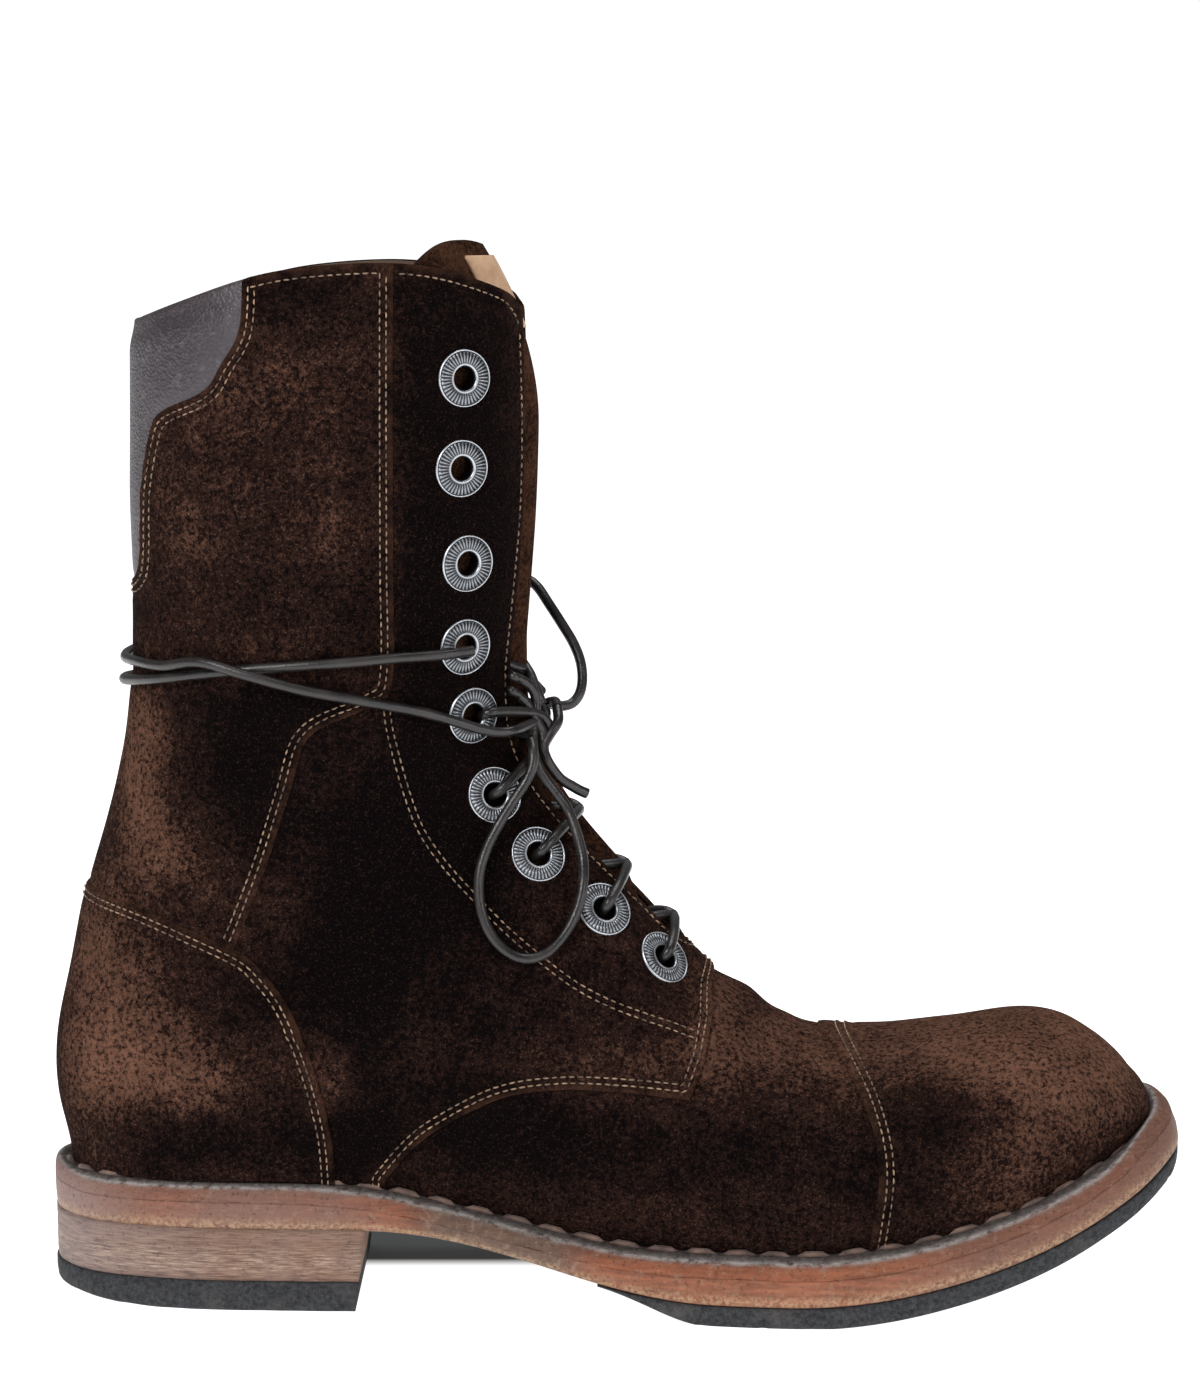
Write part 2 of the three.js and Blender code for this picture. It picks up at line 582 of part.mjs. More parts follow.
// One loop of the outline, from the toe's tip along the outer side to the heel and back. Its height
// is taken between the feather line and the loop itself, as far out as follow says.
function loop({ share, extra, at, follow = 1 }, top, bottom) {
  const place = (side) => (t) => {
    const p = edgePoint(t, side, share, extra);
    const x = mix(featherPoint(t, side).x, p.x, follow);
    return new THREE.Vector3(p.x, p.y, mix(top(x), bottom(x), at));
  };
  return [...FOOT_STATIONS.map(place(-1)), ...FOOT_STATIONS.slice(1, -1).reverse().map(place(1))];
}

// A solid layer (levels listed from top to bottom) or, with a ring, levels that close on themselves
function soleLayer(levels, top, bottom, ring = false) {
  const loops = levels.map((level) => loop(level, top, bottom));
  const count = loops[0].length;
  const half = count / 2;
  const triangles = [];
  const quad = (a, b, c, d) => triangles.push(a, b, c, a, c, d);
  const bands = ring ? levels.length : levels.length - 1;
  for (let level = 0; level < bands; level++) {
    const upper = level * count;
    const lower = ((level + 1) % levels.length) * count;
    for (let k = 0; k < count; k++) {
      const next = (k + 1) % count;
      quad(upper + k, lower + k, lower + next, upper + next);
    }
  }
  if (!ring) {
    const base = (levels.length - 1) * count;
    for (let k = 0; k < half; k++) {
      const across = (count - k) % count;
      quad(k, k + 1, count - k - 1, across);
      quad(base + across, base + count - k - 1, base + k + 1, base + k);
    }
  }
  return toSolid(closedGeometry(loops.flat(), triangles));
}

const EDGE = { share: 1, extra: 0 };
const weltBottom = (x) => topLine(x) - WELT_THICKNESS;
const midsoleTop = (x) => weltBottom(x) - CLEARANCE;
const sideOutline = (points) => sidePrism(points.map(([x, z]) => new THREE.Vector2(x, z)));

const welt = () => soleLayer([
  { share: 0, extra: -WELT_LIP, at: 0 },
  { share: 0.3, extra: 0, at: 0, follow: 0.3 },
  { share: 0.88, extra: 0, at: 0.35, follow: 0.7 },
  { share: 1, extra: 0, at: 0.7 },
  { ...EDGE, at: 1 },
  { share: 0, extra: -WELT_LIP, at: 1 },
], topLine, weltBottom, true);

const midsole = () => soleLayer([
  { ...EDGE, at: 0 },
  { ...EDGE, at: 0.5 },
  { share: 1, extra: -TRIM_MIDSOLE, at: 1 },
], midsoleTop, leatherLine);

const insole = () => soleLayer([
  { share: 0, extra: -WELT_LIP - 4 * CLEARANCE, at: 0 },
  { share: 0, extra: -WELT_LIP - CLEARANCE, at: 1 },
], (x) => topLine(x) + INSOLE_RISE, weltBottom);

const BREAST_LOW = HEEL_LENGTH - BREAST_SLOPE;
const BREAST_TOP = HEEL_LENGTH + BREAST_SLOPE;
const BREAST_LIFT = mix(BREAST_LOW, BREAST_TOP, HEEL_LIFT / HEEL_HEIGHT);

function heelStack() {
  const high = HEEL_HEIGHT;
  return soleLayer([
    { share: 1, extra: -TRIM_MIDSOLE, at: 0 },
    { share: 1, extra: -TRIM_STACK, at: 1 },
  ], (x) => leatherLine(x) - CLEARANCE, () => HEEL_LIFT + CLEARANCE).intersect(sideOutline([
    [-REACH, 0], [BREAST_LOW, 0], [BREAST_TOP, high], [-REACH, high],
  ]));
}

function heelLift() {
  return soleLayer([
    { share: 1, extra: -TRIM_LIFT, at: 0 },
    { share: 1, extra: -TRIM_LIFT, at: 0.5 },
    { share: 1, extra: -TRIM_LIFT - TRIM_WEAR, at: 1 },
  ], () => HEEL_LIFT, () => 0).intersect(sideOutline([
    [-HEEL_BEVEL_LENGTH, 2 * HEEL_BEVEL_RISE], [HEEL_BEVEL_LENGTH, 0], [BREAST_LOW, 0],
    [BREAST_LIFT, HEEL_LIFT], [BREAST_LIFT, HEEL_HEIGHT], [-HEEL_BEVEL_LENGTH, HEEL_HEIGHT],
  ]));
}

// Notches that leave the lugs, square to the tread's edge on either side
function lugNotches() {
  const notches = [];
  for (const side of Object.values(SIDES)) {
    let since = LUG_PITCH / 2;
    let before = edgePoint(LUG_FIRST, side, 1, 0);
    for (let t = LUG_FIRST; t > 0.2; t -= 0.02) {
      const p = edgePoint(t, side, 1, 0);
      since += p.distanceTo(before);
      before = p;
      if (since < LUG_PITCH) continue;
      since -= LUG_PITCH;
      const inward = edgePoint(t, side, 1, -1).sub(p);
      const notch = new THREE.BoxGeometry(2 * LUG_NOTCH_LENGTH, LUG_NOTCH_WIDTH, 2 * LUG_NOTCH_DEPTH);
      notch.rotateZ(Math.atan2(inward.y, inward.x));
      notches.push(toSolid(notch.translate(p.x, p.y, Math.max(0, treadLine(p.x)))));
    }
  }
  return wasm.Manifold.union(notches);
}

function forefootTread() {
  const high = leatherLine(1.2 * LAST_LENGTH);
  return soleLayer([
    { share: 1, extra: -TRIM_MIDSOLE, at: 0 },
    { share: 1, extra: -TRIM_LIFT, at: 0.4 },
    { share: 1, extra: -TRIM_WEAR, at: 1 },
  ], (x) => leatherLine(x) - CLEARANCE, treadLine).intersect(sideOutline([
    [TREAD_START, 0], [2 * LAST_LENGTH, 0], [2 * LAST_LENGTH, high], [TREAD_START, high],
  ])).subtract(lugNotches());
}

// Laces
function tube(points, sides = 8, stepLength = 3 * LACE_DIAMETER) {
  const section = new THREE.Shape(steps(0, 1, sides).slice(0, -1).map((share) => new THREE.Vector2(
    Math.cos(2 * Math.PI * share), Math.sin(2 * Math.PI * share),
  ).multiplyScalar(LACE_DIAMETER / 2)));
  const path = new THREE.CatmullRomCurve3(points);
  return new THREE.ExtrudeGeometry(section, {
    steps: Math.ceil(path.getLength() / stepLength), bevelEnabled: false, extrudePath: path,
  });
}

// The section whose ridge is at a height
function ridgeSection(z) {
  let [low, high] = [8, LAST_SECTION];
  while (high - low > 1e-6) {
    const middle = (low + high) / 2;
    if (surface(middle, 0).z < z) low = middle;
    else high = middle;
  }
  return low;
}

// A crossing: from the eyelets of one row over the tongue to just past the ridge, joined in one solid
const LACE_OVER = EYELET_SEAT + EYELET_FLANGE + 2 * CLEARANCE + LACE_DIAMETER / 2;
const LACE_PAST = 0.25;

function crossing(lower, upperRow) {
  const strand = (side) => {
    const [t0, a0] = lower;
    const [t1, a1] = upperRow;
    const start = surface(t0, a0);
    const middle = ridgeSection((start.z + surface(t1, a1).z) / 2);
    const points = steps(0, 1, 4).map((k) => offset(mix(t0, middle, k), side * mix(a0, 0, k), LACE_OVER));
    points.push(offset(mix(middle, t1, LACE_PAST), -side * mix(0, a1, LACE_PAST), LACE_OVER));
    return toSolid(tube(points, 6));
  };
  return strand(SIDES.outer).add(strand(SIDES.inner));
}

// Free stretches of the lace, point by point
const KNOT_CENTRE = [132.3, -2, 155];
const KNOT_HALF = [3.2, 4.4, 3.2];
const LACE_ROUTES = {
  lace_wrap_outer: [
    [115.5, -27.6, 175.1], [108.2, -32.1, 174.6], [97.4, -34.8, 174.1], [85.4, -37.4, 173.3],
    [70.9, -38.1, 172.3], [56.9, -36.4, 171.1], [43.3, -31.7, 169.3], [31.9, -23.8, 167.3],
    [22.9, -9.6, 165.4], [21.8, 4.6, 164.7], [26.9, 18, 164.1], [36.4, 27.6, 163.9],
    [49.4, 34.2, 163.6], [64.8, 37.3, 163.3], [79.2, 37.2, 162.7], [90.7, 35.4, 161.6],
    [101.4, 32.9, 159.8], [111.5, 30.9, 157.6], [119.8, 25.9, 156.3], [127.2, 17.8, 156.2],
    [131.4, 11, 155.9], [131.9, 5.9, 155.6],
  ],
  lace_wrap_inner: [
    [115.5, 27.6, 175.1], [108.2, 32.1, 175], [97.5, 34.9, 174.9], [85.6, 37.4, 174.5],
    [71.1, 38.2, 174], [57.1, 36.6, 173.6], [43.6, 31.9, 173.1], [32.3, 24, 172.5], [23.3, 9.7, 171.6],
    [22.1, -4.6, 171], [27.3, -18.3, 171.2], [34.8, -28.2, 171.3], [45.2, -36.3, 173.1],
    [57.1, -40, 170.2], [71.3, -39.7, 166.3], [84, -37.1, 163.6], [96.7, -33.4, 160.8],
    [104.4, -30.6, 158.8], [112.1, -27.7, 156.1], [117.8, -25.7, 154.1], [122.5, -23.4, 153.1],
    [126.6, -20.6, 153.3], [131.2, -11.2, 154.2],
  ],
  lace_loop_outer: [
    [130.9, -11.8, 150.3], [131, -14.4, 147.9], [131.6, -16.2, 145], [133.6, -16.5, 140.7],
    [137.1, -16.5, 135.9], [140.2, -16.8, 131.4], [142.6, -19.6, 125.4], [144.2, -22.2, 118.9],
    [144.2, -25.7, 112.8], [142.7, -27.7, 106.5], [139.5, -30, 100.5], [134.8, -32.2, 95.9],
    [129.1, -33.2, 94.5], [123.8, -33.2, 96.8], [119.6, -32.3, 101.7], [117.3, -30.7, 108.4],
    [117, -28.9, 115.8], [118.8, -27.1, 122.4], [121.9, -25.8, 128.5], [125.6, -23.9, 134.4],
    [129, -22.4, 139.5], [130.8, -21.6, 143.6], [131.1, -20, 147.4], [130.5, -16.8, 149.9],
  ],
  lace_loop_inner: [
    [134.9, 3.6, 157.6], [135.5, 8.4, 156.6], [138.2, 10, 155.8], [141.1, 12, 156.3],
    [143.1, 13.5, 158.6], [143.9, 15.5, 162.2], [143.4, 17.5, 167], [141.5, 19.5, 171.8],
    [138.5, 21, 176.7], [134.7, 23, 182.4], [131.6, 25.5, 186.7], [128.7, 28, 188.4], [125.9, 30, 186],
    [124.2, 30, 181], [123.7, 27, 174.7], [124.6, 23.5, 169.6], [126.3, 19.8, 166.1],
    [128.3, 17, 163.6], [131, 13.4, 161.4], [132.8, 8, 160.2],
  ],
  lace_end_outer: [
    [137.3, -3.2, 157], [137.5, -6.8, 153.8], [135.4, -9.3, 150.6], [133.8, -12.4, 147.9],
    [134.4, -14.2, 145.2], [136, -14.2, 142.3], [138.4, -13.6, 139.2], [141.3, -12.4, 137.2],
    [143.4, -11.8, 135.9], [145.3, -11.2, 135],
  ],
  lace_end_inner: [
    [132.3, 10.4, 153.1], [131.6, 14.6, 149.4], [130.4, 18.4, 145.2], [129.6, 22.4, 140],
    [129.6, 26, 133.5], [130, 28.8, 126], [131, 30.4, 119], [132.4, 31.2, 112],
  ],
};

function knot() {
  const ball = new THREE.SphereGeometry(1, 10, 6).scale(...KNOT_HALF);
  return ball.translate(...KNOT_CENTRE);
}

// Assembly
const finish = (color, roughness, metalness = 0) =>
  new THREE.MeshStandardMaterial({ color, roughness, metalness });
const SUEDE = finish(0x3a2419, 0.95);
const SMOOTH_LEATHER = finish(0x221a20, 0.5);
const LABEL_TAN = finish(0xb08d68, 0.8);
const LINING = finish(0x6d5138, 0.8);
const SOLE_LEATHER = finish(0x8a5638, 0.6);
const WELT_LEATHER = finish(0x75665c, 0.7);
const RUBBER = finish(0x2b2b2e, 0.85);
const GUNMETAL = finish(0x5a6066, 0.35, 0.9);
const WAXED_LACE = finish(0x3b3330, 0.5);

const boot = new THREE.Group();
boot.position.x = -HEEL_LENGTH / 2;

function add(name, shape, material) {
  const geometry = shape.isBufferGeometry ? shape : toGeometry(shape);
  const mesh = new THREE.Mesh(geometry, material);
  mesh.name = name;
  boot.add(mesh);
}

add('upper', upper(), SUEDE);
add('toe_cap', toeCap(), SUEDE);
add('heel_counter', heelCounter(), SUEDE);
add('shaft_panel', shaftPanel(), SUEDE);
add('collar_pad', collarPad(), SMOOTH_LEATHER);
add('tongue', tongue(), SUEDE);
add('tongue_label', tongueLabel(), LABEL_TAN);
add('insole', insole(), LINING);
add('welt', welt(), WELT_LEATHER);
add('midsole', midsole(), SOLE_LEATHER);
add('heel_stack', heelStack(), SOLE_LEATHER);
add('heel_lift', heelLift(), RUBBER);
add('forefoot_tread', forefootTread(), RUBBER);
for (const [name, side] of Object.entries(SIDES)) {
  EYELET_ROWS.forEach(([t, turn], i) => add(`eyelet_${name}_${i + 1}`, eyelet(t, side * turn), GUNMETAL));
}
for (let k = 3; k < EYELET_ROWS.length - 1; k++) {
  add(`lace_cross_${k - 2}`, crossing(EYELET_ROWS[k + 1], EYELET_ROWS[k]), WAXED_LACE);
}
for (const [name, route] of Object.entries(LACE_ROUTES)) {
  add(name, tube(route.map((p) => new THREE.Vector3(...p))), WAXED_LACE);
}
add('lace_knot', knot(), WAXED_LACE);

const scene = new THREE.Group();
scene.add(boot);
export default scene;
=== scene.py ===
# Lace-up ankle boot, right foot: the looks of every surface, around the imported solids.
# Shapes are worked out in millimetres, as lengths forward from the back of the last, and become
# metres in the row's frame when a mesh is made.
import json
import math

import bpy
import numpy as np
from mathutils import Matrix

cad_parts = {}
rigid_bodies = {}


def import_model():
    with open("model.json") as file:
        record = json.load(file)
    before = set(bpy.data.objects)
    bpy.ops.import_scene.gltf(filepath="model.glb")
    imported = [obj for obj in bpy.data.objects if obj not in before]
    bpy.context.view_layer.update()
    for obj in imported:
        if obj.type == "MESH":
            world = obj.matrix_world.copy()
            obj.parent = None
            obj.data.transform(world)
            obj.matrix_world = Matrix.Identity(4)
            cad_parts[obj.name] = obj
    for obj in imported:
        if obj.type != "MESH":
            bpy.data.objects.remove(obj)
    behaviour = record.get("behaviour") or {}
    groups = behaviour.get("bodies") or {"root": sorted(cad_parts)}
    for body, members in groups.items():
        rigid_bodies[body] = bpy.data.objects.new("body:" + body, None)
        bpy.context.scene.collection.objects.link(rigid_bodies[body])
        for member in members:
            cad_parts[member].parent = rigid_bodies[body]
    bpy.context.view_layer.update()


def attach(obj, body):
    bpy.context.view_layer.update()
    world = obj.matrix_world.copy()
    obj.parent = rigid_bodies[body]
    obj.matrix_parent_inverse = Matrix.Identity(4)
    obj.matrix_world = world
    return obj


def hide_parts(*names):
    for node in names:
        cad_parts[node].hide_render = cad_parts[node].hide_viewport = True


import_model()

# Driving sizes of the last and the shaft, in millimetres
LAST_LENGTH = 297
BALL_WIDTH = 93
INSTEP_HEIGHT = 72
HEEL_HEIGHT = 34.4
TOE_SPRING = 29
SHAFT_HEIGHT = 242
SHAFT_LENGTH = 103.6
SHAFT_WIDTH = 77.6

# Leather thicknesses
WALL = 2
PANEL = 1.3
TONGUE_THICKNESS = 2.2
CLEARANCE = 0.3

# Sole
LEATHER_THICKNESS = 12.4
WELT_THICKNESS = 5
WELT_LIP = 3.5
WELT_AT_HEEL = 4.5
WELT_AT_BALL = 7.7
WELT_AT_TOE = 10.3
TREAD_THICKNESS = 6.2
TREAD_START = 148
TREAD_SKIVE = 0.85
FLAT_CUT = 0.4
INSOLE_RISE = 3
HEEL_LENGTH = 86
BREAST_SLOPE = 2
HEEL_LIFT = 8.2
HEEL_BEVEL_LENGTH = 30
HEEL_BEVEL_RISE = 3
LUG_PITCH = 17.6
LUG_NOTCH_WIDTH = 3
LUG_NOTCH_DEPTH = 3
LUG_FIRST = 10.58

# Lacing
THROAT_WIDTH_TOP = 25
THROAT_WIDTH_BOTTOM = 15
EYELET_RADIUS = 7.5
EYELET_BORE_RADIUS = 3.3
EYELET_BARREL_RADIUS = 4.1
LACE_DIAMETER = 2.8

MM = 0.001
ORIGIN = np.array([HEEL_LENGTH / 2, 0, 0])
PHOTO_WIDTH = 1200
PHOTO_HEIGHT = 1381


def metres(points):
    """Millimetres from the back of the last, as metres in the row's frame."""
    return (np.asarray(points, float) - ORIGIN) * MM


# Camera, lights and backdrop
CAMERA_PLACE = (148.72, -1050, 290)
CAMERA_PITCH = 6.99
CAMERA_FOCAL_PIXELS = 3942.38
SENSOR = 36
WORLD_LIGHT = 0.22
WORLD_SEEN = 1.1
FLOOR_HALF = 12


def make_camera():
    data = bpy.data.cameras.new("camera")
    data.sensor_fit = "VERTICAL"
    data.sensor_height = SENSOR
    data.lens = SENSOR * CAMERA_FOCAL_PIXELS / PHOTO_HEIGHT
    data.clip_start = 0.01
    camera = bpy.data.objects.new("camera", data)
    camera.location = metres(CAMERA_PLACE)
    camera.rotation_euler = (math.radians(90 - CAMERA_PITCH), 0, 0)
    bpy.context.collection.objects.link(camera)
    bpy.context.scene.camera = camera


def area_light(name, place, target, size, watts, color=(1, 1, 1)):
    data = bpy.data.lights.new(name, "AREA")
    data.shape = "DISK"
    data.size = size
    data.energy = watts
    data.color = color
    lamp = bpy.data.objects.new(name, data)
    lamp.location = place
    way = np.array(target) - np.array(place)
    flat = math.hypot(way[0], way[1])
    lamp.rotation_euler = (math.atan2(flat, -way[2]), 0, math.atan2(way[1], way[0]) - math.pi / 2)
    bpy.context.collection.objects.link(lamp)


def make_lights():
    """A white room: the camera sees it white, and it lights the boot more softly."""
    world = bpy.data.worlds.new("studio")
    bpy.context.scene.world = world
    world.use_nodes = True
    nodes, links = world.node_tree.nodes, world.node_tree.links
    rays = nodes.new("ShaderNodeLightPath")
    strength = nodes.new("ShaderNodeMapRange")
    strength.inputs["To Min"].default_value = WORLD_LIGHT
    strength.inputs["To Max"].default_value = WORLD_SEEN
    links.new(rays.outputs["Is Camera Ray"], strength.inputs["Value"])
    background = nodes["Background"]
    background.inputs["Color"].default_value = (1, 1, 1, 1)
    links.new(strength.outputs["Result"], background.inputs["Strength"])
    middle = (0.09, 0, 0.12)
    area_light("key_light", (-0.75, -1.35, 1.2), middle, 0.7, 19)
    area_light("fill_light", (1.3, -1.1, 0.6), middle, 0.9, 6)
    area_light("top_light", (0.2, 0.2, 1.6), middle, 1.0, 10)


def make_floor():
    points = [(x, y, 0) for x, y in ((-FLOOR_HALF, -FLOOR_HALF), (FLOOR_HALF, -FLOOR_HALF),
                                     (FLOOR_HALF, FLOOR_HALF), (-FLOOR_HALF, FLOOR_HALF))]
    mesh = bpy.data.meshes.new("floor")
    mesh.from_pydata(points, [], [(0, 1, 2, 3)])
    floor = bpy.data.objects.new("floor", mesh)
    bpy.context.collection.objects.link(floor)
    mesh.materials.append(paper())


# Materials: each is a short node graph on the Principled shader
class Graph:
    """Adds nodes to a new material and joins them."""

    def __init__(self, name):
        self.material = bpy.data.materials.new(name)
        self.material.use_nodes = True
        self.nodes = self.material.node_tree.nodes
        self.links = self.material.node_tree.links
        self.shader = self.nodes["Principled BSDF"]
        place = self.nodes.new("ShaderNodeTexCoord")
        self.place = place.outputs["Object"]

    def put(self, socket, value):
        if isinstance(value, bpy.types.NodeSocket):
            self.links.new(value, socket)
        else:
            socket.default_value = value

    def shade(self, **values):
        for name, value in values.items():
            self.put(self.shader.inputs[name.replace("_", " ")], value)

    def scaled(self, scale):
        node = self.nodes.new("ShaderNodeMapping")
        self.put(node.inputs["Vector"], self.place)
        node.inputs["Scale"].default_value = scale
        return node.outputs["Vector"]

    def noise(self, scale, detail=3, rough=0.55, vector=None, distortion=0):
        node = self.nodes.new("ShaderNodeTexNoise")
        self.put(node.inputs["Vector"], self.place if vector is None else vector)
        node.inputs["Scale"].default_value = scale
        node.inputs["Detail"].default_value = detail
        node.inputs["Roughness"].default_value = rough
        node.inputs["Distortion"].default_value = distortion
        return node.outputs["Fac"]

    def place_along(self, axis):
        """How far along X, Y or Z of the row's frame, in metres."""
        node = self.nodes.new("ShaderNodeSeparateXYZ")
        self.put(node.inputs["Vector"], self.place)
        return node.outputs[axis]

    def stretch(self, value, start, end, fade):
        """1 between two values and 0 away from them."""
        low = self.window(value, start - fade, start + fade)
        high = self.window(value, end - fade, end + fade, 1.0, 0.0)
        return self.math("MULTIPLY", low, high)

    def cells(self, scale, vector=None):
        node = self.nodes.new("ShaderNodeTexVoronoi")
        self.put(node.inputs["Vector"], self.place if vector is None else vector)
        node.inputs["Scale"].default_value = scale
        return node.outputs["Distance"]

    def math(self, operation, a, b=0.0):
        node = self.nodes.new("ShaderNodeMath")
        node.operation = operation
        self.put(node.inputs[0], a)
        self.put(node.inputs[1], b)
        return node.outputs["Value"]

    def window(self, value, low, high, to_low=0.0, to_high=1.0):
        node = self.nodes.new("ShaderNodeMapRange")
        self.put(node.inputs["Value"], value)
        for name, number in (("From Min", low), ("From Max", high), ("To Min", to_low), ("To Max", to_high)):
            node.inputs[name].default_value = number
        return node.outputs["Result"]

    def mix(self, factor, a, b, blend="MIX"):
        node = self.nodes.new("ShaderNodeMix")
        node.data_type = "RGBA"
        node.blend_type = blend
        self.put(node.inputs["Factor"], factor)
        self.put(node.inputs["A"], colour(a))
        self.put(node.inputs["B"], colour(b))
        return node.outputs["Result"]

    def field(self, name):
        node = self.nodes.new("ShaderNodeAttribute")
        node.attribute_name = name
        return node.outputs["Fac"]

    def bump(self, height, distance, strength=1.0, below=None):
        node = self.nodes.new("ShaderNodeBump")
        node.inputs["Strength"].default_value = strength
        node.inputs["Distance"].default_value = distance
        self.put(node.inputs["Height"], height)
        if below is not None:
            self.put(node.inputs["Normal"], below)
        return node.outputs["Normal"]


def colour(value):
    return (*value, 1.0) if isinstance(value, tuple) and len(value) == 3 else value


SUEDE_DARK = (0.0024, 0.0014, 0.0018)
SUEDE_BROWN = (0.031, 0.0140, 0.0105)
SUEDE_LIGHT = (0.20, 0.096, 0.062)


def suede():
    """Napped leather: dark where it is brushed flat, lighter where it is scuffed or turned up, and lighter still with
    painted sheen along the edges that turn away at the toe, the heel's back and the shaft's back.
    """
    g = Graph("suede")
    broad = g.noise(30, 4, 0.6)
    middle = g.noise(150, 5, 0.7)
    grain = g.noise(780, 3, 0.75)
    specks = g.noise(1900, 2, 0.6)
    nap_and_sheen = g.math("ADD", g.math("MULTIPLY", broad, 0.42), g.math("MULTIPLY", middle, 0.5))
    # Real scuffs and painted sheen: the toe, the heel's back and the shaft's back turn paler where their edges turn
    # away.
    nap_and_sheen = g.math("ADD", nap_and_sheen, g.math("MULTIPLY", g.field("scuff_and_sheen"), 0.42))
    nap_and_sheen = g.math("SUBTRACT", nap_and_sheen, g.math("MULTIPLY", g.field("dark"), 0.3))
    tone = g.math("ADD", nap_and_sheen, g.math("MULTIPLY", g.math("SUBTRACT", grain, 0.5), 0.8))
    body = g.mix(g.window(tone, 0.30, 0.66), SUEDE_DARK, SUEDE_BROWN)
    body = g.mix(g.window(tone, 0.60, 1.05), body, SUEDE_LIGHT)
    light = g.math("MULTIPLY", g.window(specks, 0.56, 0.72), g.window(nap_and_sheen, 0.35, 0.9, 0.15, 1.0))
    body = g.mix(g.math("MULTIPLY", light, 0.75), body, (0.26, 0.145, 0.10))
    body = g.mix(g.math("MULTIPLY", g.window(grain, 0.5, 0.38), 0.75), body, SUEDE_DARK)
    edge = g.math("MULTIPLY", g.field("edge"), g.window(middle, 0.4, 0.65, 0.05, 0.75))
    body = g.mix(edge, body, (0.085, 0.040, 0.025))
    coarse = g.bump(middle, 0.0016, 0.5)
    fine = g.bump(grain, 0.0022, 0.9, coarse)
    g.shade(Base_Color=body, Roughness=0.95, Normal=fine, Sheen_Weight=0.02, Sheen_Roughness=0.5,
            Specular_IOR_Level=0.03)
    g.shader.inputs["Sheen Tint"].default_value = (0.55, 0.3, 0.2, 1)
    return g.material


def tongue_suede():
    g = Graph("tongue_suede")
    broad = g.noise(60, 4, 0.6)
    grain = g.noise(900, 2, 0.6)
    tone = g.math("ADD", broad, g.math("MULTIPLY", g.math("SUBTRACT", grain, 0.5), 0.9))
    body = g.mix(g.window(tone, 0.3, 0.75), (0.010, 0.0045, 0.0032), (0.075, 0.033, 0.018))
    g.shade(Base_Color=body, Roughness=0.95, Sheen_Weight=0.02, Specular_IOR_Level=0.03,
            Normal=g.bump(grain, 0.0015, 0.9, g.bump(broad, 0.001, 0.4)))
    g.shader.inputs["Sheen Tint"].default_value = (0.6, 0.35, 0.2, 1)
    return g.material


def collar_leather():
    """Smooth leather with a fine pore grain and a soft gloss."""
    g = Graph("collar_leather")
    grain = g.cells(1100)
    broad = g.noise(45, 4)
    fine = g.noise(500, 3, 0.65)
    body = g.mix(g.window(broad, 0.3, 0.75), (0.018, 0.013, 0.018), (0.052, 0.040, 0.049))
    body = g.mix(g.math("MULTIPLY", g.window(fine, 0.55, 0.7), 0.6), body, (0.10, 0.08, 0.085))
    body = g.mix(g.window(g.field("edge"), 0.0, 1.0, 0.0, 0.5), body, (0.06, 0.045, 0.048))
    g.shade(Base_Color=body, Roughness=g.window(broad, 0.2, 0.8, 0.38, 0.52), Specular_IOR_Level=0.6,
            Normal=g.bump(grain, 0.0003, 0.6, g.bump(fine, 0.0004, 0.5, g.bump(broad, 0.0014, 0.35))))
    return g.material


def lining_leather():
    g = Graph("lining_leather")
    broad = g.noise(28, 3)
    grain = g.cells(900)
    body = g.mix(g.window(broad, 0.3, 0.75), (0.085, 0.048, 0.028), (0.155, 0.095, 0.06))
    g.shade(Base_Color=body, Roughness=0.7, Normal=g.bump(grain, 0.0002, 0.5))
    return g.material


def label_leather():
    g = Graph("label_leather")
    broad = g.noise(160, 3)
    body = g.mix(g.window(broad, 0.3, 0.7), (0.40, 0.235, 0.135), (0.58, 0.38, 0.24))
    g.shade(Base_Color=body, Roughness=0.75, Normal=g.bump(g.noise(1500, 2), 0.0003, 0.6))
    return g.material


